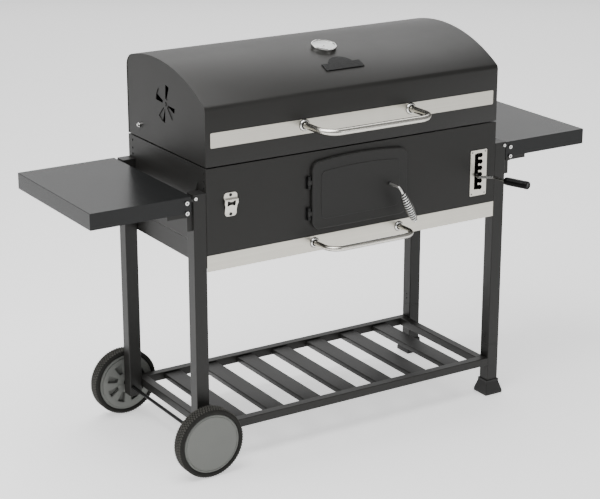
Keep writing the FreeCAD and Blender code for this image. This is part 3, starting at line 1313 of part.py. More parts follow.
# ---------------------------------------------------------------- side tables
def make_table():
    """Folded sheet tray, open below, with arms that turn on the brackets' pins."""
    x0 = -D.table_half
    x1 = -D.table_start
    low = D.table_top - D.table_tall
    tray = new_body("left_table_tray")
    solid = block(tray, "table_solid", "Additive", x0, x1, TABLE_FRONT, TABLE_BACK,
                  low, D.table_top)
    solid = fillet(tray, "table_posts", solid, D.table_soft, ALONG_Z)

    def top_edge(edge):
        return edge.BoundBox.ZMin > D.table_top.number - 0.01

    fillet(tray, "table_rim", solid, D.table_sheet * 0.9, top_edge)
    w = D.table_sheet
    block(tray, "table_hollow", "Subtractive", x0 + w, x1 - w, TABLE_FRONT + w,
          TABLE_BACK - w, low - 1, D.table_top - w)
    for tag, face, sign in (("front", TABLE_FRONT, 1), ("rear", TABLE_BACK, -1)):
        n0, n1 = span(face + w * sign, face + (w + D.arm_sheet * 2 + D.arm_gap + 24) * sign)
        block(tray, "table_notch_" + tag, "Subtractive", x1 - w - 0.5, x1 + 1, n0, n1,
              low - 1, D.arm_top - 4)
    r = D.fold_pin + D.run_clear
    bore = rod("table_bore", "y", r, TABLE_BACK - TABLE_FRONT + 20, -D.fold_x,
               TABLE_FRONT - 10, D.fold_z)
    left = cut("left_table", tray, [bore])
    keep("left_table", left)
    keep("right_table", mirror("right_table", left))
    arms = []
    posts = []
    for tag, face, sign in (("front", TABLE_FRONT, 1), ("rear", TABLE_BACK, -1)):
        inner = face + w * sign
        a0, a1 = span(inner, inner + D.arm_sheet * sign)
        arm = box("arm_" + tag, -D.arm_far, -D.arm_near, a0, a1, D.arm_low, D.arm_top)
        hole = rod("arm_hole_" + tag, "y", r, D.arm_sheet + 20, -D.fold_x, a0 - 10, D.fold_z)
        shank_far = face - D.head_tall * sign
        b0, b1 = span(shank_far, inner)
        bolt_z = D.fold_z + D.bolt_rise
        h0, h1 = span(shank_far, face)
        head = rod("arm_bolt_" + tag, "y", D.fold_head, h1 - h0, -D.fold_x, h0, bolt_z)
        arms.append(cut("arm_drilled_" + tag, arm, [hole]))
        arms.append(head)
        near = inner + (D.arm_sheet + D.arm_gap) * sign
        p0, p1 = span(near, near + D.arm_sheet * sign)
        post_x = -LEG_OUT - D.post_wide
        plate = box("post_" + tag, post_x, -LEG_OUT, p0, p1, D.post_low, D.arm_top - 8)
        boss = rod("post_boss_" + tag, "y", D.fold_pin + 10, D.arm_sheet, -D.fold_x, p0,
                   D.fold_z)
        f0, f1 = span(near, near + 20 * sign)
        flange = box("post_flange_" + tag, -LEG_OUT - D.arm_sheet, -LEG_OUT, f0, f1,
                     D.post_low, D.arm_top - 8)
        q0, q1 = span(face - (D.head_tall + 0.3) * sign, near)
        pin = rod("fold_pin_" + tag, "y", D.fold_pin, q1 - q0, -D.fold_x, q0, D.fold_z)
        k0, k1 = span(face - 0.3 * sign, face - (D.head_tall + 0.3) * sign)
        knob = rod("fold_head_" + tag, "y", D.fold_head, k1 - k0, -D.fold_x, k0, D.fold_z)
        posts.append(fuse("bracket_" + tag, [plate, boss, flange, pin, knob]))
    left_arms = compound("left_table_arms", arms)
    left_posts = compound("left_brackets", posts)
    keep("left_table_arms", left_arms)
    keep("right_table_arms", mirror("right_table_arms", left_arms))
    keep("left_brackets", left_posts)
    keep("right_brackets", mirror("right_brackets", left_posts))


def span(a, b):
    """Two places in rising order."""
    return (a, b) if a.number < b.number else (b, a)


# ---------------------------------------------------------------- screws
def make_screws():
    """Screw heads on the side panels, the opener, the slot plate and the legs."""
    heads = []

    def side_head(name, y, z):
        heads.append(rod(name, "x", D.screw_rad, D.screw_tall, -HALF - D.screw_tall, y, z))
        heads.append(rod(name + "_r", "x", D.screw_rad, D.screw_tall, HALF, y, z))

    for index, drop in enumerate((13.5, 35.5, 52.0)):
        side_head("screw_front_%d" % index, FRONT + 14, D.rim_top - drop)
        side_head("screw_rear_%d" % index, BACK - 22, D.rim_top - drop)
    side_head("screw_low_front", FRONT + D.leg_deep + 4 - 0.5, D.swell_low - 4)

    def face_head(name, x, depth, z):
        heads.append(rod(name, "y", D.screw_rad, D.screw_tall, x, FRONT - depth - D.screw_tall, z))

    face_head("opener_screw_top", OPENER_X, D.opener_sheet, D.opener_top - 6.5)
    face_head("opener_screw_low", OPENER_X, D.opener_sheet, D.opener_low + 6)
    for tag_x, x in (("a", D.notch_left + 6), ("b", D.notch_right - 6)):
        for tag_z, z in (("a", D.notch_low + 6), ("b", D.notch_top - 6)):
            heads.append(rod("plate_rivet_" + tag_x + tag_z, "y", 2.2, 1.0, x,
                             FRONT - D.notch_sheet - 1.0, z))
    for where, y in (("front", FRONT + D.leg_deep / 2), ("rear", BACK - D.leg_deep / 2)):
        for index, rise in enumerate((19.0, 33.0)):
            heads.append(rod("leg_screw_%s_%d" % (where, index), "x", D.screw_rad - 0.6,
                             D.screw_tall, HALF - D.screw_tall, y, D.joint_z + rise))
    keep("screws", compound("screws", heads))


# ---------------------------------------------------------------- build and write
def build():
    make_front_panel()
    make_rear_panel()
    make_side_panel()
    make_grates()
    make_ledges()
    make_legs()
    make_lower_legs()
    make_foot("foot_front", FRONT)
    make_foot("foot_rear", BACK - D.leg_deep)
    make_leg_caps()
    make_rack()
    make_axle()
    for name, (inner_y, outer_y) in wheel_faces().items():
        make_wheel("wheel_" + name, inner_y, outer_y)
    make_lid()
    make_vents()
    make_lid_strip()
    make_handle("lid_handle", D.lid_grip_half, D.lid_grip_out, D.lid_grip_rad,
                D.lid_grip_bend, FRONT - D.strip_sheet, STRIP_Z + D.strip_tall * 0.607)
    make_gauge()
    make_name_plate()
    make_lid_hinges()
    make_stay_bolts()
    make_door()
    make_door_hinges()
    make_door_handle()
    make_drawer()
    make_handle("drawer_handle", D.drawer_grip_half, D.drawer_grip_out, D.drawer_grip_rad,
                D.drawer_grip_bend, FRONT, D.drawer_low + 25.4)
    make_pan()
    make_lever()
    make_height_plate()
    make_opener()
    make_table()
    make_screws()
    DOC.recompute()


def check():
    """Stops if any object failed or any sub-part is missing, empty or not valid."""
    for thing in DOC.Objects:
        if "Invalid" in thing.State or "Error" in thing.State:
            raise RuntimeError("object failed: %s %s" % (thing.Label, thing.State))
    for name, thing in NODES.items():
        shape = thing.Shape
        if shape.isNull() or not shape.Solids or not shape.isValid():
            raise RuntimeError("bad shape: " + name)
        if re.fullmatch(r"[a-z_]{1,59}", name) is None:
            raise RuntimeError("bad name: " + name)


def write():
    os.makedirs("parts", exist_ok=True)
    for name, thing in NODES.items():
        thing.Shape.exportStep("parts/%s.step" % name)
    print("%d sub-parts written" % len(NODES))


build()
check()
write()
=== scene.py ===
"""Charcoal trolley barbecue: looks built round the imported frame, in metres."""
import math
import bmesh
import bpy
from mathutils import Matrix, Vector


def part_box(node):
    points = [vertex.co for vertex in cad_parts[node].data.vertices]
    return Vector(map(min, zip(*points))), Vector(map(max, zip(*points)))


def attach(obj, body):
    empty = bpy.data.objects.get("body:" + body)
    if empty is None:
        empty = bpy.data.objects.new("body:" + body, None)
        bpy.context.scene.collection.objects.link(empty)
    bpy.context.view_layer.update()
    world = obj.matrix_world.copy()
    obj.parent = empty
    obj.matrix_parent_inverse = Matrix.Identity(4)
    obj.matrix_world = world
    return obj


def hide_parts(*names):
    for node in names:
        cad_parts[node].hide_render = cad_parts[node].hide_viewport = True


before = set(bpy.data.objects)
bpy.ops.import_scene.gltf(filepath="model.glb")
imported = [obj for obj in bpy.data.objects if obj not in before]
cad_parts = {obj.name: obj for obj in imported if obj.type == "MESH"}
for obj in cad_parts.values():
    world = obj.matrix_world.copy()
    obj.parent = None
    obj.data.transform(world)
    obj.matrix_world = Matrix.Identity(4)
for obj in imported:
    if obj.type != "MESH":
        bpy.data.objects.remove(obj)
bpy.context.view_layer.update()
MM = 0.001

# Sizes and places that the frame's boxes don't give, in mm.
LID_ARC = 505.0                      # the roof's radius
CROWN_BACK = 276.7                   # from the lid's front wall to the roof's centre line
BROW_BEND = 16.0                     # bend between front wall and roof
NAPE_BEND = 40.0                     # bend between rear wall and roof
LEG_HALF = 18.5                      # half the width of a leg
SCREW_DROPS = (13.5, 35.5, 52.0)     # side screws, below the rim
LOW_SCREW_Z = 607.0
RACK_SCREW_Z = (175.0, 189.0)
OPENER_SCREW_Z = (748.5, 697.0)
PIVOT_OUT = 18.3                     # table pivots, outside the legs
PIVOT_Z = 717.5
ARM_BOLT_Z = 744.5
CORNER_IN = 5.6                      # corner bolts, inside the legs' outer faces
CORNER_BOLT_Z = 753.0
SLATS = 7
SLAT_PITCH = 120.0
SLAT_WIDE = 54.0
SLAT_TALL = 14.0
SLAT_FOLD = 2.5
TREAD_BLOCKS = 76
TREAD_PITCH = 8.4                    # between the tread's rows
RIM_HALF = 18.0                      # half the width of a wheel's rim
WINDOWS = 8                          # openings in a rim's inner side
SPINDLE_X = 97.4                     # the door handle's spindle
SPINDLE_Z = 704.7
GRIP_TILT = 27.0                     # degrees from straight down
GRIP_LONG = 113.0                    # from the rod's bend to its end
LEVER_OUT = 80.0                     # the lever's knee, in front of the front panel
LEVER_KNEE_X = 436.0
LEVER_END_X = 462.0
GRIP_SLEEVE = 76.0                   # length of the lever's grip


# ------------------------------------------------------------ node helpers
def wire(tree, source, target):
    """Links two sockets, each given as (node, socket name or number)."""
    tree.links.new(source[0].outputs[source[1]], target[0].inputs[target[1]])


def add(tree, kind, where=None, **settings):
    """A node with settings; input values are given as a dict of socket name or number."""
    node = tree.nodes.new(kind)
    for name, value in settings.items():
        setattr(node, name, value)
    for socket, value in (where or {}).items():
        if isinstance(value, tuple) and isinstance(value[0], bpy.types.Node):
            wire(tree, value, (node, socket))
        else:
            node.inputs[socket].default_value = value
    return node


def new_group(name, kind, inputs, outputs):
    """A node group with named sockets; returns the group, its input and its output node."""
    group = bpy.data.node_groups.new(name, kind)
    for label, socket, default in inputs:
        made = group.interface.new_socket(label, in_out="INPUT", socket_type=socket)
        if default is not None:
            made.default_value = default
    for label, socket in outputs:
        group.interface.new_socket(label, in_out="OUTPUT", socket_type=socket)
    return group, group.nodes.new("NodeGroupInput"), group.nodes.new("NodeGroupOutput")


def math_node(tree, operation, a, b=None):
    """The result socket of a sum; a and b are numbers or linked sockets."""
    node = tree.nodes.new("ShaderNodeMath")
    node.operation = operation
    for index, value in enumerate((a, b)):
        if value is None:
            continue
        if isinstance(value, tuple):
            wire(tree, value, (node, index))
        else:
            node.inputs[index].default_value = value
    return (node, 0)


def combine(tree, x=None, y=None, z=None):
    """A vector socket made of up to three linked numbers."""
    parts = {index: value for index, value in enumerate((x, y, z)) if value is not None}
    return (add(tree, "ShaderNodeCombineXYZ", parts), 0)


def toned(tree, colour, gain):
    """A linked colour multiplied by a linked number."""
    return (add(tree, "ShaderNodeVectorMath", {0: colour, "Scale": gain}, operation="SCALE"), 0)


def mixed(tree, mask, low, high):
    """A colour between two linked ones."""
    return (add(tree, "ShaderNodeMix", {0: mask, 6: low, 7: high}, data_type="RGBA"), 2)


# ------------------------------------------------------------ shader groups
FLOAT = "NodeSocketFloat"
COLOUR = "NodeSocketColor"
VECTOR = "NodeSocketVector"


def coat_group():
    """Powder coat: fine orange peel, cloudy tone and a slight change of sheen."""
    group, inside, out = new_group(
        "powder_coat", "ShaderNodeTree",
        [("Tone", COLOUR, (0.04, 0.04, 0.04, 1)), ("Peel Scale", FLOAT, 650.0),
         ("Cloud Scale", FLOAT, 7.0), ("Tone Change", FLOAT, 0.16),
         ("Roughness", FLOAT, 0.42), ("Sheen Change", FLOAT, 0.1)],
        [("Color", COLOUR), ("Roughness", FLOAT), ("Height", FLOAT)])
    place = (add(group, "ShaderNodeTexCoord"), "Object")
    peel = add(group, "ShaderNodeTexNoise", {
        "Vector": place, "Detail": 3.0, "Scale": (inside, "Peel Scale")})
    cloud = add(group, "ShaderNodeTexNoise", {
        "Vector": place, "Detail": 4.0, "Roughness": 0.6, "Scale": (inside, "Cloud Scale")})
    fleck = add(group, "ShaderNodeTexNoise", {"Vector": place, "Scale": 1900.0, "Detail": 1.0})
    swing = math_node(group, "SUBTRACT", (cloud, 0), 0.5)
    tone_swing = math_node(group, "MULTIPLY", swing, (inside, "Tone Change"))
    spark = math_node(group, "MULTIPLY", math_node(group, "SUBTRACT", (fleck, 0), 0.5), 0.22)
    gain = math_node(group, "ADD", math_node(group, "ADD", tone_swing, spark), 1.0)
    wire(group, toned(group, (inside, "Tone"), gain), (out, "Color"))
    sheen = math_node(group, "MULTIPLY", swing, (inside, "Sheen Change"))
    wire(group, math_node(group, "ADD", sheen, (inside, "Roughness")), (out, "Roughness"))
    wire(group, (peel, 0), (out, "Height"))
    return group


def brushed_group():
    """Brushed metal: long fine lines along one axis that change tone, gloss and height."""
    group, inside, out = new_group(
        "brushed_lines", "ShaderNodeTree",
        [("Tone", COLOUR, (0.6, 0.6, 0.6, 1)), ("Stretch", VECTOR, (3.0, 900.0, 900.0)),
         ("Line Strength", FLOAT, 0.3), ("Roughness", FLOAT, 0.3), ("Smudge", FLOAT, 0.12)],
        [("Color", COLOUR), ("Roughness", FLOAT), ("Height", FLOAT)])
    place = (add(group, "ShaderNodeTexCoord"), "Object")
    spread = add(group, "ShaderNodeMapping", {"Vector": place, "Scale": (inside, "Stretch")})
    lines = add(group, "ShaderNodeTexNoise", {
        "Vector": (spread, 0), "Scale": 1.0, "Detail": 4.0, "Roughness": 0.7})
    smudge = add(group, "ShaderNodeTexNoise", {"Vector": place, "Scale": 9.0, "Detail": 3.0})
    swing = math_node(group, "SUBTRACT", (lines, 0), 0.5)
    lift = math_node(group, "MULTIPLY", swing, (inside, "Line Strength"))
    cloud = math_node(group, "MULTIPLY", math_node(group, "SUBTRACT", (smudge, 0), 0.5),
                      (inside, "Smudge"))
    gain = math_node(group, "ADD", math_node(group, "ADD", lift, cloud), 1.0)
    wire(group, toned(group, (inside, "Tone"), gain), (out, "Color"))
    gloss = math_node(group, "ADD", math_node(group, "MULTIPLY", swing, 0.25),
                      math_node(group, "ADD", cloud, (inside, "Roughness")))
    wire(group, gloss, (out, "Roughness"))
    wire(group, (lines, 0), (out, "Height"))
    return group


def mould_group():
    """Moulded plastic or rubber: spark-eroded grain, and dust in patches."""
    group, inside, out = new_group(
        "moulded_grain", "ShaderNodeTree",
        [("Tone", COLOUR, (0.03, 0.03, 0.03, 1)), ("Dust", COLOUR, (0.2, 0.19, 0.18, 1)),
         ("Grain Scale", FLOAT, 900.0), ("Dust Amount", FLOAT, 0.08),
         ("Roughness", FLOAT, 0.55)],
        [("Color", COLOUR), ("Roughness", FLOAT), ("Height", FLOAT)])
    place = (add(group, "ShaderNodeTexCoord"), "Object")
    grain = add(group, "ShaderNodeTexVoronoi", {"Vector": place, "Scale": (inside, "Grain Scale")})
    patch = add(group, "ShaderNodeTexNoise", {
        "Vector": place, "Scale": 18.0, "Detail": 5.0, "Roughness": 0.65})
    mask = math_node(group, "MULTIPLY", (patch, 0), (inside, "Dust Amount"))
    wire(group, mixed(group, mask, (inside, "Tone"), (inside, "Dust")), (out, "Color"))
    rough = math_node(group, "MULTIPLY", math_node(group, "SUBTRACT", (patch, 0), 0.5), 0.2)
    wire(group, math_node(group, "ADD", rough, (inside, "Roughness")), (out, "Roughness"))
    wire(group, (grain, 0), (out, "Height"))
    return group


def edge_highlight_group():
    """Painted highlight along edges: lightens what stands out at corners, as light catching the
    edges would, broken up by noise.
    """
    group, inside, out = new_group(
        "painted_edge_highlight", "ShaderNodeTree",
        [("Color", COLOUR, (0.04, 0.04, 0.04, 1)), ("Edge", COLOUR, (0.16, 0.16, 0.16, 1)),
         ("Width", FLOAT, 0.0012), ("Amount", FLOAT, 0.5)],
        [("Color", COLOUR)])
    place = (add(group, "ShaderNodeTexCoord"), "Object")
    shape = add(group, "ShaderNodeNewGeometry")
    soft = add(group, "ShaderNodeBevel", {"Radius": (inside, "Width")}, samples=3)
    facing = add(group, "ShaderNodeVectorMath", {0: (soft, 0), 1: (shape, "Normal")},
                 operation="DOT_PRODUCT")
    corner = math_node(group, "SUBTRACT", 1.0, (facing, "Value"))
    # noise that breaks up the painted edge highlight
    breakup = add(group, "ShaderNodeTexNoise", {"Vector": place, "Scale": 120.0, "Detail": 4.0})
    mask = math_node(group, "MULTIPLY", math_node(group, "MULTIPLY", corner, (breakup, 0)),
                     math_node(group, "MULTIPLY", (inside, "Amount"), 6.0))
    mask[0].use_clamp = True
    wire(group, mixed(group, mask, (inside, "Color"), (inside, "Edge")), (out, "Color"))
    return group


COAT = coat_group()
BRUSHED = brushed_group()
MOULD = mould_group()
EDGE_HIGHLIGHT = edge_highlight_group()


# ------------------------------------------------------------ materials
def start_material(name, **sockets):
    material = bpy.data.materials.new(name)
    material.use_nodes = True
    tree = material.node_tree
    shader = tree.nodes["Principled BSDF"]
    for socket, value in sockets.items():
        shader.inputs[socket.replace("_", " ")].default_value = value
    return material, tree, shader


def use_group(tree, group, values):
    node = tree.nodes.new("ShaderNodeGroup")
    node.node_tree = group
    for socket, value in values.items():
        node.inputs[socket].default_value = value
    return node


def finish_material(tree, shader, group, bump, depth, edge=None):
    """Feeds a group's colour, gloss and height to the shader; edge is (colour, width, amount) of a
    painted highlight along the edges.
    """
    colour = (group, "Color")
    if edge:
        # painted highlight: a paler colour where the edges stand out
        lit_edge = use_group(tree, EDGE_HIGHLIGHT, {"Edge": edge[0], "Width": edge[1], "Amount": edge[2]})
        wire(tree, colour, (lit_edge, "Color"))
        colour = (lit_edge, "Color")
    wire(tree, colour, (shader, "Base Color"))
    wire(tree, (group, "Roughness"), (shader, "Roughness"))
    relief = add(tree, "ShaderNodeBump", {
        "Strength": bump, "Distance": depth, "Height": (group, "Height")})
    wire(tree, (relief, 0), (shader, "Normal"))


def coated(name, tone, roughness=0.42, peel=650.0, bump=0.16, cloud=7.0, edge=0.35):
    """Painted or enamelled steel, paler along its edges as a painted highlight."""
    material, tree, shader = start_material(name, IOR=1.5, Specular_IOR_Level=0.26)
    group = use_group(tree, COAT, {"Tone": (*tone, 1), "Roughness": roughness,
                                  "Peel Scale": peel, "Cloud Scale": cloud})
    # the paler tone of the painted highlight along the edges
    pale = (*[min(1.0, c * 2.6 + 0.02) for c in tone], 1)
    finish_material(tree, shader, group, bump, 0.0006, (pale, 0.0011, edge))
    return material


def metal(name, tone, stretch, roughness=0.3, lines=0.3, bump=0.08, anisotropy=0.0,
          smudge=0.12, shade=0.0):
    """Brushed or polished metal; shade darkens what turns away, as dark surroundings would."""
    material, tree, shader = start_material(name, Metallic=1.0, Anisotropic=anisotropy)
    group = use_group(tree, BRUSHED, {
        "Tone": (*tone, 1), "Stretch": stretch, "Roughness": roughness, "Line Strength": lines,
        "Smudge": smudge})
    finish_material(tree, shader, group, bump, 0.0003)
    if shade:
        turn = add(tree, "ShaderNodeLayerWeight", {"Blend": 0.5})
        away = math_node(tree, "POWER", (turn, "Facing"), 2.2)
        dim = math_node(tree, "SUBTRACT", 1.0, math_node(tree, "MULTIPLY", away, shade))
        wire(tree, toned(tree, (group, "Color"), dim), (shader, "Base Color"))
    return material


def moulded(name, tone, dust, roughness=0.55, grain=900.0, amount=0.1, bump=0.15,
            specular=0.3):
    """Plastic or rubber from a mould."""
    material, tree, shader = start_material(name, Specular_IOR_Level=specular)
    group = use_group(tree, MOULD, {"Tone": (*tone, 1), "Dust": (*dust, 1),
                                   "Roughness": roughness, "Grain Scale": grain,
                                   "Dust Amount": amount})
    finish_material(tree, shader, group, bump, 0.0004)
    return material


def glass():
    """Clear pane with the faintest green."""
    return start_material("gauge_pane", Roughness=0.03, IOR=1.5, Transmission_Weight=1.0,
                          Base_Color=(0.96, 0.98, 0.98, 1))[0]


ANTHRACITE = (0.0168, 0.0163, 0.0150)
M = {
    "coat": coated("anthracite_coat", ANTHRACITE),
    "table": coated("table_coat", (0.0105, 0.0110, 0.0112), roughness=0.25, cloud=4.0),
    "frame": coated("frame_coat", (0.0185, 0.0181, 0.0168), roughness=0.4),
    "door": coated("door_coat", (0.0185, 0.0182, 0.0172), roughness=0.46, bump=0.22),
    "black": coated("black_hardware", (0.004, 0.004, 0.004), roughness=0.34, edge=0.5),
    "strip": metal("brushed_strip", (0.62, 0.60, 0.535), (2.0, 700.0, 700.0), 0.34, 0.4,
                   anisotropy=0.5, smudge=0.3),
    "plate": metal("brushed_plate", (0.66, 0.64, 0.58), (700.0, 700.0, 3.0), 0.34, 0.3),
    "tube": metal("polished_tube", (0.72, 0.70, 0.64), (600.0, 60.0, 60.0), 0.24, 0.14, 0.03,
                  shade=0.85),
    "rod": metal("satin_rod", (0.78, 0.77, 0.74), (400.0, 400.0, 400.0), 0.42, 0.1, 0.03,
                 shade=0.5),
    "bright": metal("bright_plating", (0.82, 0.82, 0.80), (400.0, 400.0, 400.0), 0.16, 0.08,
                    0.02, shade=0.7),
    "steel": metal("dark_steel", (0.16, 0.16, 0.155), (400.0, 400.0, 400.0), 0.3, 0.2, 0.05),
    "feet": moulded("black_moulding", (0.010, 0.010, 0.010), (0.12, 0.11, 0.1), 0.42),
    "grip": moulded("grip_sleeve", (0.002, 0.002, 0.002), (0.01, 0.01, 0.01), 0.3,
                    specular=0.12),
    "tyre": moulded("tyre_rubber", (0.015, 0.015, 0.014), (0.10, 0.095, 0.08), 0.75, 500.0,
                    0.12, 0.3, 0.15),
    # The tread blocks get a paler rubber than the tyre body. This is a painted highlight for light
    # catching their raised tops, and the mould group adds its dust patches on top.
    "tread": moulded("tread_highlight_and_dust", (0.033, 0.0335, 0.030), (0.22, 0.21, 0.19), 0.8, 500.0,
                     0.4, 0.3, 0.15),
    "rim": moulded("grey_moulding", (0.148, 0.154, 0.142), (0.26, 0.26, 0.25), 0.46, 1100.0,
                   0.2, 0.08),
    "iron": coated("seasoned_iron", (0.014, 0.013, 0.012), 0.6, 420.0, 0.5, 14.0, 0.2),
    "plate_black": coated("name_plate_black", (0.005, 0.005, 0.005), 0.62, 260.0, 1.6, 9.0,
                          1.4),
    "dial": coated("dial_enamel", (0.72, 0.72, 0.69), 0.35, 900.0, 0.02, 20.0, 0.0),
    "ink": coated("dial_ink", (0.02, 0.02, 0.02), 0.4, 900.0, 0.02, 20.0, 0.0),
    "needle": coated("needle_paint", (0.12, 0.015, 0.012), 0.35, 900.0, 0.02, 20.0, 0.0),
    "zone": coated("dial_zone", (0.36, 0.35, 0.32), 0.4, 900.0, 0.02, 20.0, 0.0),
    "glass": glass(),
    "pan": coated("pan_enamel", (0.012, 0.012, 0.012), 0.3, 300.0, 0.2, 9.0, 0.5),
}


# ------------------------------------------------------------ mesh helpers
def piece(name, mesh, material, body, replaced=(), angle=35):
    """Makes a mesh a finished piece: material, smooth shading, body and what it replaces."""
    mesh.name = name
    thing = bpy.data.objects.new(name, mesh)
    bpy.context.collection.objects.link(thing)
    if material:
        dressed(mesh, material)
    if angle:
        mesh.shade_smooth()
        mesh.set_sharp_from_angle(angle=math.radians(angle))
    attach(thing, body)
    if replaced:
        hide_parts(*replaced)
    return thing


def evaluated(thing):
    """The mesh of an object with its modifiers run; the object itself is removed."""
    depsgraph = bpy.context.evaluated_depsgraph_get()
    mesh = bpy.data.meshes.new_from_object(thing.evaluated_get(depsgraph))
    bpy.data.objects.remove(thing)
    return mesh


def temporary(data):
    """A linked object that holds a mesh or curve while modifiers run."""
    thing = bpy.data.objects.new("work", data)
    bpy.context.collection.objects.link(thing)
    return thing


def grow(tree, values, source=None):
    """Runs a geometry tree on a source mesh with named input values; returns plain mesh."""
    thing = temporary(source or bpy.data.meshes.new("seed"))
    modifier = thing.modifiers.new("grow", "NODES")
    modifier.node_group = tree
    for item in tree.interface.items_tree:
        if item.in_out == "INPUT" and item.name in values:
            modifier[item.identifier] = values[item.name]
    return evaluated(thing)


def softened(node, material, body, width):
    """A CAD node's shape with its folded edges rounded by a small bevel, in mm."""
    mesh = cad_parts[node].data.copy()
    work = bmesh.new()
    work.from_mesh(mesh)
    bmesh.ops.remove_doubles(work, verts=work.verts, dist=2e-6)
    bmesh.ops.dissolve_limit(work, angle_limit=math.radians(0.8), verts=work.verts,
                             edges=work.edges, use_dissolve_boundaries=False)
    work.to_mesh(mesh)
    work.free()
    mesh.shade_smooth()
    thing = temporary(mesh)
    bevel = thing.modifiers.new("soft", "BEVEL")
    bevel.width = width * MM
    bevel.segments = 2
    bevel.limit_method = "ANGLE"
    bevel.angle_limit = math.radians(32)
    bevel.miter_outer = "MITER_ARC"
    even = thing.modifiers.new("even", "WEIGHTED_NORMAL")
    even.weight = 100
    made = evaluated(thing)
    return piece(node + "_soft", made, material, body, (node,), None)


def lathe(profile, steps):
    """A closed turned shape from (radius, height) pairs in mm, turned about Z."""
    work = bmesh.new()
    rings = []
    for radius, height in profile:
        if radius < 1e-6:
            rings.append([work.verts.new((0, 0, height * MM))])
            continue
        rings.append([work.verts.new((radius * MM * math.cos(2 * math.pi * k / steps),
                                      radius * MM * math.sin(2 * math.pi * k / steps),
                                      height * MM)) for k in range(steps)])
    pairs = list(zip(rings, rings[1:]))
    if len(rings[0]) > 1:
        pairs.append((rings[-1], rings[0]))
    for low, high in pairs:
        for k in range(steps):
            n = (k + 1) % steps
            corners = [low[k % len(low)], low[n % len(low)], high[n % len(high)],
                       high[k % len(high)]]
            unique = list(dict.fromkeys(corners))
            if len(unique) > 2:
                work.faces.new(unique)
    bmesh.ops.recalc_face_normals(work, faces=work.faces)
    mesh = bpy.data.meshes.new("turned")
    work.to_mesh(mesh)
    work.free()
    return mesh


def seat(mesh, where, axis=(0, 0, 1), roll=0.0):
    """Moves a mesh made about Z so that Z points along axis and its origin is at where."""
    turn = Vector(axis).normalized().to_track_quat("Z", "Y").to_matrix().to_4x4()
    spin = Matrix.Rotation(roll, 4, "Z")
    mesh.transform(Matrix.Translation(Vector(where)) @ turn @ spin)
    return mesh


def merged(meshes):
    """One mesh from several, each with its own material slots kept."""
    work = bmesh.new()
    whole = bpy.data.meshes.new("merged")
    for mesh in meshes:
        part_count = len(whole.materials)
        before = len(work.faces)
        work.from_mesh(mesh)
        work.faces.ensure_lookup_table()
        for face in work.faces[before:]:
            face.material_index += part_count
        for material in mesh.materials:
            whole.materials.append(material)
    work.to_mesh(whole)
    work.free()
    return whole


def dressed(mesh, material):
    """The mesh with one material in its slot."""
    mesh.materials.clear()
    mesh.materials.append(M[material])
    return mesh


def tube(points, radius, bend, steps, ring):
    """A round bar through points in metres, each corner an arc of radius bend in mm."""
    path = [Vector(points[0])]
    for index in range(1, len(points) - 1):
        before, here, after = (Vector(p) for p in points[index - 1:index + 2])
        to_back = (before - here).normalized()
        to_next = (after - here).normalized()
        half = to_back.angle(to_next) / 2
        trim = bend * MM / math.tan(half)
        start = here + to_back * trim
        centre = here + (to_back + to_next).normalized() * (bend * MM / math.sin(half))
        spoke = start - centre
        normal = to_back.cross(to_next).normalized()
        sweep = math.pi - 2 * half
        for step in range(steps + 1):
            turn = Matrix.Rotation(-sweep * step / steps, 3, normal)
            path.append(centre + turn @ spoke)
    path.append(Vector(points[-1]))
    curve = bpy.data.curves.new("path", "CURVE")
    curve.dimensions = "3D"
    spline = curve.splines.new("POLY")
    spline.points.add(len(path) - 1)
    for point, spot in zip(spline.points, path):
        point.co = (*spot, 1)
    curve.bevel_depth = radius * MM
    curve.bevel_resolution = ring // 4
    curve.use_fill_caps = True
    mesh = evaluated(temporary(curve))
    bpy.data.curves.remove(curve)
    return mesh


# ------------------------------------------------------------ geometry trees
def end_tree(tree, out, geometry, material):
    """Realizes instances, sets the material and ends the tree."""
    real = add(tree, "GeometryNodeRealizeInstances")
    wire(tree, geometry, (real, 0))
    paint = add(tree, "GeometryNodeSetMaterial")
    paint.inputs["Material"].default_value = material
    wire(tree, (real, 0), (paint, 0))
    wire(tree, (paint, 0), (out, 0))


GEO = "GeometryNodeTree"
IN_MESH = ("Geometry", "NodeSocketGeometry", None)
OUT_MESH = [("Geometry", "NodeSocketGeometry")]


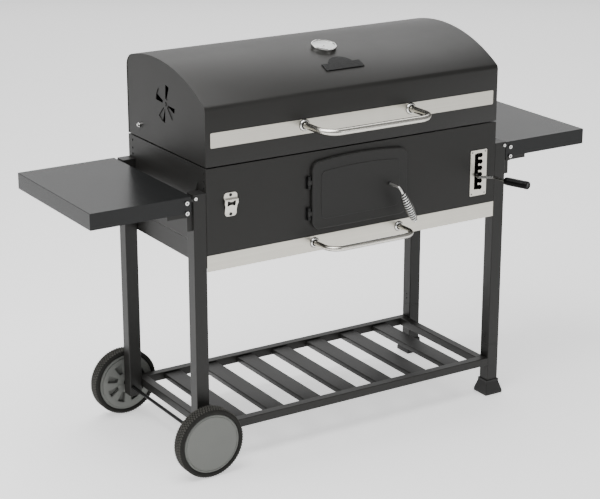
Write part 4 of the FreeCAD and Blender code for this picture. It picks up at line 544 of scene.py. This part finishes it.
def screw_tree(material, sides, recess):
    """Heads at the source's points, each turned to its stored aim."""
    tree, inside, out = new_group(
        "fastener_heads", GEO,
        [IN_MESH, ("Head Radius", FLOAT, 0.0034), ("Head Height", FLOAT, 0.0018)], OUT_MESH)
    if sides:
        head = add(tree, "GeometryNodeMeshCylinder", {
            "Vertices": sides, "Depth": 1.0, "Radius": 1.0})
    else:
        head = add(tree, "GeometryNodeMeshUVSphere", {
            "Segments": 24, "Rings": 12, "Radius": 1.0})
    lift = add(tree, "GeometryNodeTransform", {
        "Geometry": (head, "Mesh"), "Translation": (0, 0, 0.5 if sides else 0.0)})
    shape = (lift, 0)
    if recess:
        if recess == "cross":
            tools = [add(tree, "GeometryNodeMeshCube", {"Size": size})
                     for size in ((1.1, 0.24, 0.7), (0.24, 1.1, 0.7))]
        else:
            tools = [add(tree, "GeometryNodeMeshCylinder", {
                "Vertices": 6, "Radius": 0.46, "Depth": 1.4})]
        bars = add(tree, "GeometryNodeJoinGeometry")
        for tool in tools:
            up = add(tree, "GeometryNodeTransform", {
                "Geometry": (tool, "Mesh"), "Translation": (0, 0, 0.95)})
            wire(tree, (up, 0), (bars, 0))
        carve = add(tree, "GeometryNodeMeshBoolean", {"Mesh 1": shape, "Mesh 2": (bars, 0)},
                    operation="DIFFERENCE")
        shape = (carve, "Mesh")
    radius = (inside, "Head Radius")
    scaled = add(tree, "GeometryNodeTransform", {
        "Geometry": shape, "Scale": combine(tree, radius, radius, (inside, "Head Height"))})
    points = add(tree, "GeometryNodeMeshToPoints", {0: (inside, 0)})
    aim = add(tree, "GeometryNodeInputNamedAttribute", {"Name": "aim"}, data_type="FLOAT_VECTOR")
    turn = add(tree, "FunctionNodeAlignRotationToVector", {"Vector": (aim, 0)}, axis="Z")
    spread = add(tree, "GeometryNodeInstanceOnPoints", {
        "Points": (points, 0), "Instance": (scaled, 0), "Rotation": (turn, 0)})
    end_tree(tree, out, (spread, 0), material)
    return tree


def heads(spots, radius, height, material, sides=0, recess="cross"):
    """Fastener heads at (place, aim) spots in metres."""
    mesh = bpy.data.meshes.new("spots")
    mesh.from_pydata([spot for spot, _ in spots], [], [])
    aims = mesh.attributes.new("aim", "FLOAT_VECTOR", "POINT")
    for index, (_, aim) in enumerate(spots):
        aims.data[index].vector = aim
    tree = screw_tree(M[material], sides, recess)
    return grow(tree, {"Head Radius": radius * MM, "Head Height": height * MM}, mesh)


def slat_tree(material):
    """A row of folded slats: a top with rounded folds and two sides, repeated along X."""
    tree, inside, out = new_group(
        "slat_row", GEO,
        [("Count", "NodeSocketInt", 7), ("Pitch", FLOAT, 0.12), ("Width", FLOAT, 0.054),
         ("Height", FLOAT, 0.014), ("Length", FLOAT, 0.382), ("Fold", FLOAT, 0.003)],
        OUT_MESH)
    half = math_node(tree, "MULTIPLY", (inside, "Width"), 0.5)
    back = math_node(tree, "MULTIPLY", half, -1.0)
    drop = math_node(tree, "MULTIPLY", (inside, "Height"), -1.0)
    corners = [combine(tree, x, None, z)
               for x, z in ((back, drop), (back, None), (half, None), (half, drop))]
    joined = add(tree, "GeometryNodeJoinGeometry")
    for start, end in zip(corners, corners[1:]):
        side = add(tree, "GeometryNodeCurvePrimitiveLine", {"Start": start, "End": end})
        wire(tree, (side, 0), (joined, 0))
    flat = add(tree, "GeometryNodeCurveToMesh", {"Curve": (joined, 0)})
    weld = add(tree, "GeometryNodeMergeByDistance", {0: (flat, 0), "Distance": 1e-5})
    chain = add(tree, "GeometryNodeMeshToCurve", {0: (weld, 0)})
    rounded = add(tree, "GeometryNodeFilletCurve", {
        0: (chain, 0), "Count": 5, "Radius": (inside, "Fold")}, mode="POLY")
    edge = add(tree, "GeometryNodeCurveToMesh", {"Curve": (rounded, 0)})
    pull = add(tree, "GeometryNodeExtrudeMesh", {
        "Mesh": (edge, 0), "Offset": combine(tree, None, (inside, "Length")),
        "Offset Scale": 1.0}, mode="EDGES")
    gaps = math_node(tree, "SUBTRACT", (inside, "Count"), 1.0)
    first = math_node(tree, "MULTIPLY", math_node(tree, "MULTIPLY", gaps, (inside, "Pitch")), -0.5)
    row = add(tree, "GeometryNodeMeshLine", {
        "Count": (inside, "Count"), "Start Location": combine(tree, first),
        "Offset": combine(tree, (inside, "Pitch"))}, mode="OFFSET")
    spread = add(tree, "GeometryNodeInstanceOnPoints", {
        "Points": (row, 0), "Instance": (pull, 0)})
    end_tree(tree, out, (spread, 0), material)
    return tree


def coil_tree(material):
    """A barrel-shaped spring along Z: radius swells from neck to belly and back."""
    tree, inside, out = new_group(
        "spring_grip", GEO,
        [("Turns", FLOAT, 13.0), ("Length", FLOAT, 0.088), ("Neck", FLOAT, 0.0046),
         ("Belly", FLOAT, 0.011), ("Wire", FLOAT, 0.0017)], OUT_MESH)
    line = add(tree, "GeometryNodeCurvePrimitiveLine")
    dense = add(tree, "GeometryNodeResampleCurve", {0: (line, 0), "Count": 420})
    share = (add(tree, "GeometryNodeSplineParameter"), "Factor")
    swell = math_node(tree, "POWER", math_node(tree, "SINE", math_node(
        tree, "MULTIPLY", share, math.pi)), 0.8)
    grow_by = math_node(tree, "SUBTRACT", (inside, "Belly"), (inside, "Neck"))
    radius = math_node(tree, "ADD", math_node(tree, "MULTIPLY", swell, grow_by),
                       (inside, "Neck"))
    angle = math_node(tree, "MULTIPLY", math_node(tree, "MULTIPLY", share, (inside, "Turns")),
                      2 * math.pi)
    spot = combine(tree, math_node(tree, "MULTIPLY", radius, math_node(tree, "COSINE", angle)),
                   math_node(tree, "MULTIPLY", radius, math_node(tree, "SINE", angle)),
                   math_node(tree, "MULTIPLY", share, (inside, "Length")))
    wound = add(tree, "GeometryNodeSetPosition", {0: (dense, 0), "Position": spot})
    section = add(tree, "GeometryNodeCurvePrimitiveCircle", {
        "Resolution": 12, "Radius": (inside, "Wire")})
    body = add(tree, "GeometryNodeCurveToMesh", {
        "Curve": (wound, 0), "Profile Curve": (section, 0), "Fill Caps": True})
    end_tree(tree, out, (body, 0), material)
    return tree


def ring_tree(material):
    """Small blocks round a circle about Z, each turned outwards."""
    tree, inside, out = new_group(
        "ring_of_blocks", GEO,
        [("Count", "NodeSocketInt", 60), ("Radius", FLOAT, 0.094),
         ("Block", VECTOR, (0.003, 0.004, 0.01)), ("Skew", FLOAT, 0.0),
         ("Height", FLOAT, 0.0)], OUT_MESH)
    ring = add(tree, "GeometryNodeMeshCircle", {
        "Vertices": (inside, "Count"), "Radius": (inside, "Radius")})
    block = add(tree, "GeometryNodeMeshCube", {"Size": (inside, "Block")})
    leaned = add(tree, "GeometryNodeTransform", {
        "Geometry": (block, "Mesh"), "Rotation": combine(tree, (inside, "Skew"))})
    spot = add(tree, "GeometryNodeInputPosition")
    turn = add(tree, "FunctionNodeAlignRotationToVector", {"Vector": (spot, 0)}, axis="X",
               pivot_axis="Z")
    spread = add(tree, "GeometryNodeInstanceOnPoints", {
        "Points": (ring, 0), "Instance": (leaned, 0), "Rotation": (turn, 0)})
    raised = add(tree, "GeometryNodeTransform", {
        "Geometry": (spread, 0), "Translation": combine(tree, None, None, (inside, "Height"))})
    end_tree(tree, out, (raised, 0), material)
    return tree


def roof_tree(material):
    """The lid's sheet: its edge line drawn out to the lid's full width."""
    tree, inside, out = new_group("drawn_sheet", GEO, [IN_MESH, ("Width", FLOAT, 0.93)], OUT_MESH)
    pull = add(tree, "GeometryNodeExtrudeMesh", {
        "Mesh": (inside, 0), "Offset": combine(tree, (inside, "Width")), "Offset Scale": 1.0},
        mode="EDGES")
    end_tree(tree, out, (pull, 0), material)
    return tree


# ------------------------------------------------------------ firebox and lid
def solidified(mesh, thick, offset, bevel):
    """Gives a sheet its thickness in mm and softens its cut edges."""
    thing = temporary(mesh)
    solid = thing.modifiers.new("wall", "SOLIDIFY")
    solid.thickness = thick * MM
    solid.offset = offset
    solid.use_even_offset = True
    soft = thing.modifiers.new("soft", "BEVEL")
    soft.width = bevel * MM
    soft.segments = 2
    soft.limit_method = "ANGLE"
    soft.angle_limit = math.radians(50)
    return evaluated(thing)


def lid_outline():
    """The lid's box and the points of its outer profile, front to back."""
    low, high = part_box("lid_shell")
    arc = LID_ARC * MM
    crown_y = low.y + CROWN_BACK * MM
    centre_z = high.z - arc
    brow = BROW_BEND * MM
    nape = NAPE_BEND * MM

    def bend_centre(wall_y, radius, side):
        """Centre of the bend between a wall and the roof arc."""
        centre_y = wall_y + radius * side
        return centre_y, centre_z + math.sqrt((arc - radius) ** 2 - (centre_y - crown_y) ** 2)

    def bow(y, z, radius, start, end, steps):
        """Points of an arc from its start angle to its end angle, both ends included."""
        return [(y + radius * math.cos(start + (end - start) * step / steps),
                 z + radius * math.sin(start + (end - start) * step / steps))
                for step in range(steps + 1)]

    fy, fz = bend_centre(low.y, brow, 1)
    by, bz = bend_centre(high.y, nape, -1)
    front_angle = math.atan2(fz - centre_z, fy - crown_y)
    back_angle = math.atan2(bz - centre_z, by - crown_y)
    points = [(low.y, low.z)] + bow(fy, fz, brow, math.pi, front_angle, 12)
    points += bow(crown_y, centre_z, arc, front_angle, back_angle, 64)[1:-1]
    points += bow(by, bz, nape, back_angle, 0, 18) + [(high.y, low.z)]
    return low, high, points


def make_lid_shell():
    """The lid's roof and walls, one bent sheet with a thickness."""
    low, high, points = lid_outline()
    line = bpy.data.meshes.new("lid_line")
    line.from_pydata([(low.x, y, z) for y, z in points],
                     [(k, k + 1) for k in range(len(points) - 1)], [])
    sheet = grow(roof_tree(M["coat"]), {"Width": high.x - low.x}, line)
    work = bmesh.new()
    work.from_mesh(sheet)
    bmesh.ops.remove_doubles(work, verts=work.verts, dist=1e-6)
    bmesh.ops.recalc_face_normals(work, faces=work.faces)
    middle = Vector((0, (low.y + high.y) / 2, low.z + 0.1))
    face = work.faces[:][len(work.faces) // 2]
    if face.normal.dot(face.calc_center_median() - middle) < 0:
        bmesh.ops.reverse_faces(work, faces=work.faces)
    work.to_mesh(sheet)
    work.free()
    mesh = solidified(sheet, 1.5, -1.0, 0.3)
    piece("lid_roof", mesh, "coat", "lid", ("lid_shell",), 40)


def plain_nodes():
    """CAD nodes that only get soft edges and a finish, and those kept just as they are."""
    soft = [
        ("coat", "cart", "dark_coat", 0.5, "front_panel rear_panel"),
        ("coat", "cart", "dark_coat", 0.4, "left_side_panel right_side_panel"),
        ("coat", "lid", "dark_coat", 0.25, "lid_left_end lid_right_end"),
        ("strip", "lid", "brushed_steel", 0.25, "lid_trim_strip"),
        ("strip", "drawer", "brushed_steel", 0.4, "drawer_front"),
        ("plate", "cart", "brushed_steel", 0.3, "height_plate"),
        ("plate", "cart", "brushed_steel", 0.4, "bottle_opener"),
        ("plate_black", "lid", "name_plate", 0.6, "name_plate"),
        ("frame", "cart", "dark_coat", 0.3,
         "left_leg_front left_leg_rear right_leg_front right_leg_rear lower_legs"),
        ("feet", "cart", "black_plastic", 0.8, "leg_caps"),
        ("feet", "cart", "black_plastic", 1.2, "foot_front foot_rear"),
        ("frame", "cart", "dark_coat", 0.3, "rack_front_rail rack_rear_rail rack_end_rails"),
        ("table", "left_leaf", "dark_coat", 0.25, "left_table"),
        ("table", "right_leaf", "dark_coat", 0.25, "right_table"),
    ]
    for material, body, slot, width, nodes in soft:
        for node in nodes.split():
            softened(node, material, body, width)
    kept = {
        "coat": "vent_left vent_right",
        "frame": "grate_ledges left_brackets right_brackets left_table_arms right_table_arms "
                 "drawer_runners",
        "black": "lid_hinge_bases lid_hinge_leaves door_hinges axle",
        "iron": "cooking_grates",
        "pan": "coal_pan ash_drawer",
        "bright": "lid_stay_bolts",
        "steel": "lift_lever",
        "door": "fire_door",
        "glass": "gauge_glass",
    }
    for material, nodes in kept.items():
        for node in nodes.split():
            dressed(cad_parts[node].data, material)


def make_handle(node, body, bend, bar_radius):
    """Bent tube with its two bezels, placed on the CAD handle's own box."""
    low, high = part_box(node)
    z = (low.z + high.z) / 2
    bezel_low, bezel_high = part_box(node + "_bezels")
    left = low.x + bar_radius * MM
    right = high.x - bar_radius * MM
    bar_y = low.y + bar_radius * MM
    face = high.y
    mesh = tube([(left, face, z), (left, bar_y, z), (right, bar_y, z), (right, face, z)],
                bar_radius, bend, 16, 32)
    piece(node + "_tube", mesh, "tube", body, (node,), 60)
    radius = (bezel_high.z - bezel_low.z) / 2 / MM
    rings = []
    for x in (left, right):
        ring = lathe([(bar_radius + 1.2, 0.6), (radius + 0.6, 0.6), (radius + 1.0, 1.4),
                      (radius + 0.6, 3.0), (radius - 0.6, 4.6), (radius - 1.8, 5.4),
                      (radius - 2.6, 5.4), (radius - 3.4, 4.6), (bar_radius + 1.8, 2.4),
                      (bar_radius + 1.2, 2.4)], 64)
        # A black disc just wider than the bezel and a black sleeve round the tube. They are
        # painted shadow for the dark outline under the bezel and the dark groove by the tube.
        shadow_ring = lathe([(bar_radius - 0.4, 0), (radius + 1.9, 0), (radius + 1.9, 0.8),
                      (bar_radius + 2.0, 0.9), (bar_radius + 2.0, 2.6),
                      (bar_radius - 0.4, 2.6)], 64)
        for part, finish in ((ring, "bright"), (shadow_ring, "black")):
            rings.append(seat(dressed(part, finish), (x, bezel_high.y, z), (0, -1, 0)))
    piece(node + "_rings", merged(rings), None, body,
          (node + "_bezels",), 40)


def make_screws():
    """Cross-head screws, rivets and bolts, at the CAD fasteners' places."""
    front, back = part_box("front_panel")[0].y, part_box("rear_panel")[1].y
    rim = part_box("left_side_panel")[1].z
    half = -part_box("front_panel")[0].x
    side_screws = []
    for side in (-1, 1):
        for drop in SCREW_DROPS:
            for y in (front + 14 * MM, back - 22 * MM):
                side_screws.append(((half * side, y, rim - drop * MM), (side, 0, 0)))
        side_screws.append(((half * side, front + 40.5 * MM, LOW_SCREW_Z * MM), (side, 0, 0)))
    rack_screws = [((half, y, z * MM), (-1, 0, 0))
                   for y in (front + LEG_HALF * MM, back - LEG_HALF * MM)
                   for z in RACK_SCREW_Z]
    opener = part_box("bottle_opener")
    middle = (opener[0].x + opener[1].x) / 2
    opener_spots = [((middle, front - 1.8 * MM, z * MM), (0, -1, 0)) for z in OPENER_SCREW_Z]
    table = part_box("left_table")
    leg_out = -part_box("left_leg_front")[0].x
    pivots = []
    for side, body in ((-1, "left_leaf"), (1, "right_leaf")):
        x = side * (leg_out + PIVOT_OUT * MM)
        arm = []
        for y, aim in ((table[0].y, -1), (table[1].y, 1)):
            pivots.append(((x, y, PIVOT_Z * MM), (0, aim, 0)))
            arm.append(((x, y, ARM_BOLT_Z * MM), (0, aim, 0)))
        piece(body + "_bolts", heads(arm, 5.4, 4.4, "bright", 40, "socket"), None, body,
              (), 30)
    corner = [((side * (leg_out - CORNER_IN * MM), y, CORNER_BOLT_Z * MM), (0, aim, 0))
              for side in (-1, 1) for y, aim in ((front, -1), (back, 1))]
    mesh = merged([heads(pivots, 5.4, 4.7, "bright", 40, "socket"),
                   heads(corner, 4.4, 3.2, "bright", 40, "socket")])
    piece("bracket_bolts", mesh, None, "cart", (), 30)
    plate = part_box("height_plate")
    inset = 6 * MM
    rivets = [((x, front - 1.5 * MM, z), (0, -1, 0))
              for x in (plate[0].x + inset, plate[1].x - inset)
              for z in (plate[0].z + inset, plate[1].z - inset)]
    black = merged([heads(side_screws, 3.4, 1.8, "black"), heads(rack_screws, 2.8, 1.5, "black")])
    piece("panel_screws", black, None, "cart", ("screws",), 40)
    piece("opener_screws", heads(opener_spots, 4.6, 1.9, "black"), None, "cart",
          (), 40)
    piece("plate_rivets", heads(rivets, 2.4, 1.1, "steel", 0, ""), None, "cart",
          (), 40)


def make_slats():
    """The rack's seven folded slats."""
    low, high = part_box("rack_slats")
    mesh = grow(slat_tree(M["frame"]), {
        "Count": SLATS, "Pitch": SLAT_PITCH * MM, "Width": SLAT_WIDE * MM,
        "Height": SLAT_TALL * MM, "Length": high.y - low.y, "Fold": SLAT_FOLD * MM})
    mesh.transform(Matrix.Translation((0, low.y, high.z)))
    work = bmesh.new()
    work.from_mesh(mesh)
    bmesh.ops.remove_doubles(work, verts=work.verts, dist=1e-6)
    bmesh.ops.recalc_face_normals(work, faces=work.faces)
    flip = [f for f in work.faces if abs(f.normal.z) > 0.9 and f.normal.z < 0]
    if flip:
        bmesh.ops.reverse_faces(work, faces=work.faces)
    work.to_mesh(mesh)
    work.free()
    piece("rack_slat_row", solidified(mesh, 1.2, -1.0, 0.25), "frame", "cart",
          ("rack_slats",), 40)


def windowed_disc(inner, low, high, outer, count, share, height, thick):
    """A flat disc with windows between two radii, given its thickness and soft edges, in mm."""
    steps = count * 12
    work = bmesh.new()
    radii = (inner, low, high, outer)
    rings = [[work.verts.new((r * MM * math.cos(2 * math.pi * k / steps),
                              r * MM * math.sin(2 * math.pi * k / steps), height * MM))
              for k in range(steps)] for r in radii]
    for row in range(3):
        for k in range(steps):
            if row == 1 and (k % 12) / 12 < share:
                continue
            n = (k + 1) % steps
            work.faces.new((rings[row][k], rings[row][n], rings[row + 1][n],
                            rings[row + 1][k]))
    mesh = bpy.data.meshes.new("disc")
    work.to_mesh(mesh)
    work.free()
    return solidified(mesh, thick, 1.0, 0.5)


def make_wheels():
    """Tyre with a blocked tread, smooth outer cap with a ring groove, spoked inner side."""
    for name, body, out in (("wheel_front", "front_wheel", -1), ("wheel_rear", "rear_wheel", 1)):
        low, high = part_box(name + "_tyre")
        centre = (low + high) / 2
        half = (high.y - low.y) / 2 / MM
        side = [(82.0, 3), (84.5, 1.0), (88.0, 0), (91.2, 0.8), (93.4, 3.2), (94.4, 7)]
        tyre = lathe([(r, -half + inwards) for r, inwards in side] + [(94.6, 0)]
                     + [(r, half - inwards) for r, inwards in reversed(side)], 128)
        blocks = []
        for row, skew in enumerate((0.35, -0.35, 0.35, -0.35)):
            ring = grow(ring_tree(M["tread"]), {
                "Count": TREAD_BLOCKS, "Radius": 94.4 * MM,
                "Block": [v * MM for v in (2.7, 4.2, 6.8)], "Skew": skew,
                "Height": (row - 1.5) * TREAD_PITCH * MM})
            if row % 2:
                ring.transform(Matrix.Rotation(math.pi / TREAD_BLOCKS, 4, "Z"))
            blocks.append(ring)
        mesh = merged([dressed(tyre, "tyre")] + blocks)
        seat(mesh, centre, (0, out, 0))
        piece(name + "_rubber", mesh, None, body, (name + "_tyre",), 35)
        rim = RIM_HALF
        cap = lathe([(0, rim - 2.2), (10, rim - 1.9), (60, rim - 0.6), (74.2, rim - 0.1),
                     (75.0, rim - 0.7), (75.8, rim - 1.3), (76.4, rim - 0.6), (77.0, rim + 0.3),
                     (79.3, rim + 0.3), (80.9, rim - 0.9), (81.9, rim - 3.0),
                     (82.0, -rim + 2.6), (80.8, -rim + 0.6), (78, -rim), (74, -rim + 0.6),
                     (73.0, -rim + 2.2), (73.0, rim - 6), (14, rim - 7), (13, rim - 8),
                     (13, -rim + 4.0), (12, -rim + 3.2), (6.2, -rim + 3.2), (6.2, rim - 8),
                     (0, rim - 8)], 128)
        disc = windowed_disc(6.2, 29.0, 59.5, 74.0, WINDOWS, 0.5, -rim + 1.6, 3.4)
        ribs = grow(ring_tree(M["rim"]), {
            "Count": 2 * WINDOWS, "Radius": 44 * MM, "Block": [v * MM for v in (56, 2.2, 10)],
            "Skew": 0.0, "Height": (-rim + 8.0) * MM})
        web = lathe([(12, -rim + 9.0), (73.5, -rim + 9.0), (73.5, -rim + 11.5),
                     (12, -rim + 11.5)], 96)
        mesh = merged([dressed(cap, "rim"), dressed(disc, "rim"), dressed(web, "rim"), ribs])
        seat(mesh, centre, (0, out, 0), math.radians(8))
        piece(name + "_cap", mesh, None, body, (name + "_rim",), 35)


def make_door_grip():
    """Door handle rod, its barrel spring, end ball, collar and latch tongue."""
    inner_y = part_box("door_handle")[1].y
    spindle = Vector((SPINDLE_X, 0, SPINDLE_Z)) * MM
    tilt = math.radians(GRIP_TILT)
    bend_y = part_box("door_coil")[0].y / 2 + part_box("door_coil")[1].y / 2
    down = Vector((math.sin(tilt), 0, -math.cos(tilt)))
    corner = Vector((spindle.x, bend_y, spindle.z))
    end = corner + down * GRIP_LONG * MM
    rod = tube([(spindle.x, inner_y - 2 * MM, spindle.z), corner, end], 3.4, 9, 12, 24)
    ball = lathe([(0, -5), (2.5, -4.4), (4.4, -2.5), (5, 0), (4.4, 2.5), (2.5, 4.4), (0, 5)], 32)
    seat(ball, end, down)
    collar = lathe([(3.4, -2.2), (6.0, -2.2), (6.4, -1.4), (6.4, 0.4), (3.4, 0.4)], 32)
    seat(collar, (spindle.x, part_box("fire_door")[0].y, spindle.z), (0, 1, 0))
    tongue = bpy.data.meshes.new("tongue")
    work = bmesh.new()
    bmesh.ops.create_cube(work, size=1.0)
    bmesh.ops.scale(work, vec=(38 * MM, 2.5 * MM, 14 * MM), verts=work.verts)
    bmesh.ops.translate(work, vec=(spindle.x + 11 * MM, inner_y - 4.2 * MM, spindle.z),
                        verts=work.verts)
    bmesh.ops.bevel(work, geom=work.edges, offset=0.4 * MM, segments=2, affect="EDGES")
    work.to_mesh(tongue)
    work.free()
    # A black barrel inside the spring that follows its swell. It is painted shade for the dark
    # gaps between the turns; the real coil is open round the rod.
    shadow_barrel = lathe([(0, 20), (3.6, 20), (4.4, 24), (6.4, 36), (8.0, 50), (8.6, 64), (8.0, 80),
                  (6.4, 94), (4.4, 106), (3.6, 110), (0, 110)], 32)
    seat(shadow_barrel, corner, down)
    mesh = merged([dressed(rod, "rod"), dressed(ball, "bright"), dressed(collar, "black"),
                   dressed(tongue, "steel"), dressed(shadow_barrel, "black")])
    piece("door_grip_rod", mesh, None, "latch", ("door_handle",), 50)
    coil = grow(coil_tree(M["bright"]), {
        "Turns": 12.5, "Length": 92 * MM, "Neck": 5.4 * MM, "Belly": 11.7 * MM, "Wire": 1.7 * MM})
    seat(coil, corner + down * 20 * MM, down)
    piece("door_grip_spring", coil, None, "latch", ("door_coil",), 60)


def make_lever_grip():
    """Tapered grip with a rounded end and finger ribs."""
    low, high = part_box("lever_grip")
    z = (low.z + high.z) / 2
    knee_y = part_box("front_panel")[0].y - LEVER_OUT * MM
    knee = Vector((LEVER_KNEE_X * MM, knee_y, z))
    end = Vector((LEVER_END_X * MM, knee_y - GRIP_SLEEVE * MM, z))
    aim = (end - knee).normalized()
    base = end - aim * GRIP_SLEEVE * MM
    profile = [(4.0, 0), (8.9, 0), (10.2, 0.8), (10.9, 3)]
    for rib in range(7):
        start = 8 + rib * 7.0
        profile += [(11.0, start), (11.4, start + 1.2), (11.4, start + 4.0), (11.0, start + 5.2)]
    profile += [(11.1, 62), (11.5, 66), (11.5, 71), (11.0, 74.0), (9.6, 75.6), (8.8, 75.2),
                (0, 75.0), (0, 12), (4.0, 12)]
    mesh = seat(lathe(profile, 48), base, aim)
    piece("lever_grip_sleeve", mesh, "grip", "lever", ("lever_grip",), 40)


def roof_place(name):
    """Where a round piece sits on the roof's surface, and the roof's outward direction there."""
    low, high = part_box(name)
    centre = (low + high) / 2
    lid_low, lid_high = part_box("lid_shell")
    crown = Vector((0, lid_low.y + CROWN_BACK * MM, lid_high.z - LID_ARC * MM))
    out = (centre - crown)
    out.x = 0
    out.normalize()
    return crown + out * LID_ARC * MM, out


def make_gauge():
    """Thermometer: rolled bezel and cup, printed dial and pointer round the CAD pane."""
    spot, out = roof_place("gauge_glass")
    cup = lathe([(0, 3.9), (31.1, 3.9), (31.1, 9.8), (31.7, 11.0), (32.9, 11.5), (34.4, 11.0),
                 (35.3, 9.4), (35.3, 7.4), (34.7, 6.6), (34.5, 6.2), (34.6, -1.4), (0, -1.4)],
                96)
    stem = lathe([(0, -1.4), (3.2, -1.4), (3.2, -66), (2.2, -68), (0, -68)], 32)
    nut = lathe([(3.2, -1.8), (9, -1.8), (9, -6.4), (3.2, -6.4)], 6)
    mesh = seat(merged([cup, stem, nut]), spot, out)
    piece("gauge_cup", mesh, "bright", "lid", ("gauge_case",), 40)
    dial = lathe([(0, 4.0), (31.0, 4.0), (31.0, 4.8), (0, 4.8)], 96)
    parts = [dressed(dial, "dial")]
    for count, radius, block in ((50, 28.8, (2.6, 0.35, 0.12)), (10, 27.6, (5.0, 0.8, 0.12))):
        parts.append(grow(ring_tree(M["ink"]), {
            "Count": count, "Radius": radius * MM, "Block": [v * MM for v in block],
            "Height": 4.84 * MM}))
    parts.append(dressed(dial_zone(), "zone"))
    mesh = seat(merged(parts), spot, out)
    piece("gauge_face", mesh, None, "lid", ("gauge_dial",), 40)
    blade = bpy.data.meshes.new("pointer")
    outline = [(-1.4, -5), (1.4, -5), (0.9, 0), (0.5, 18), (0, 20.5), (-0.5, 18), (-0.9, 0)]
    count = len(outline)
    blade.from_pydata([(x * MM, y * MM, h * MM) for h in (5.6, 6.1) for x, y in outline], [],
                      [tuple(range(count))[::-1], tuple(range(count, 2 * count))]
                      + [(k, (k + 1) % count, (k + 1) % count + count, k + count)
                         for k in range(count)])
    blade.transform(Matrix.Rotation(math.radians(128), 4, "Z"))
    cap = lathe([(0, 5.4), (2.6, 5.4), (2.6, 6.6), (1.8, 7.2), (0, 7.2)], 32)
    mesh = seat(merged([dressed(blade, "needle"), dressed(cap, "ink")]), spot, out)
    piece("gauge_pointer", mesh, None, "needle", ("gauge_needle",), 40)


def dial_zone(steps=40):
    """A thin arc printed on the dial, from 35 to 105 degrees."""
    zone = bpy.data.meshes.new("zone")
    points = []
    for k in range(steps + 1):
        angle = math.radians(35 + 70 * k / steps)
        for radius in (21.5, 24.0):
            for height in (4.78, 4.92):
                points.append((radius * MM * math.cos(angle), radius * MM * math.sin(angle),
                               height * MM))
    faces = []
    for k in range(steps):
        a, b = 4 * k, 4 * k + 4
        for p, q in ((0, 1), (1, 3), (3, 2), (2, 0)):
            faces.append((a + p, a + q, b + q, b + p))
    faces += [(0, 2, 3, 1), (4 * steps, 4 * steps + 1, 4 * steps + 3, 4 * steps + 2)]
    zone.from_pydata(points, [], faces)
    return zone


# ------------------------------------------------------------ floor, lights and camera
def make_floor():
    """A large pale floor just under the wheels."""
    bpy.ops.mesh.primitive_plane_add(size=60, location=(0, 0, -0.0005))
    floor = bpy.context.object
    floor.name = "studio_floor"
    floor.data.materials.append(start_material(
        "studio_paper", Roughness=0.9, Base_Color=(0.93, 0.93, 0.93, 1),
        Emission_Color=(1, 1, 1, 1), Emission_Strength=0.8)[0])


def aimed(name, data, place, direction):
    """An object for a light or camera that looks along a direction."""
    thing = bpy.data.objects.new(name, data)
    bpy.context.collection.objects.link(thing)
    thing.location = place
    thing.rotation_mode = "QUATERNION"
    thing.rotation_quaternion = Vector(direction).to_track_quat("-Z", "Y")
    return thing


def make_lights():
    """Five soft boxes, each with its place, what it looks at, size and power, and a pale sky."""
    boxes = {
        "top_box": ((-1.0, -0.2, 2.9), (-0.3, -0.1, 0.6), (2.4, 2.2), 95),
        "upper_box": ((1.9, 2.9, 4.3), (0, 0, 0.9), (5.0, 3.0), 118),
        "back_box": ((3.2, 5.2, 2.5), (0, 0, 0.7), (6.5, 3.6), 56),
        "left_box": ((-3.6, 1.2, 2.2), (0, 0, 0.4), (2.4, 2.6), 26),
        "front_box": ((1.6, -4.4, 2.2), (0, 0, 0.6), (1.6, 1.2), 20),
    }
    for name, (place, target, size, power) in boxes.items():
        light = bpy.data.lights.new(name, "AREA")
        light.shape = "RECTANGLE"
        light.size, light.size_y = size
        light.energy = power
        aimed(name, light, place, Vector(target) - Vector(place))
    world = bpy.data.worlds.new("studio")
    world.use_nodes = True
    back = world.node_tree.nodes["Background"]
    back.inputs["Color"].default_value = (1, 1, 1, 1)
    back.inputs["Strength"].default_value = 0.30
    bpy.context.scene.world = world


def make_camera():
    """A long lens at eye height, to the left of the front."""
    lens = bpy.data.cameras.new("view")
    lens.lens = 106.846
    lens.sensor_width = 36.0
    lens.shift_x = -0.0008
    lens.clip_start = 0.1
    lens.clip_end = 100.0
    bpy.context.scene.camera = aimed("view", lens, (-2.56905, -3.97055, 2.05415),
                                     (0.5038957, 0.80435943, -0.31479362))


make_lid_shell()
plain_nodes()
make_handle("lid_handle", "lid", 46.0, 8.8)
make_handle("drawer_handle", "drawer", 38.0, 7.0)
make_screws()
make_slats()
make_wheels()
make_door_grip()
make_lever_grip()
make_gauge()
make_floor()
make_lights()
make_camera()
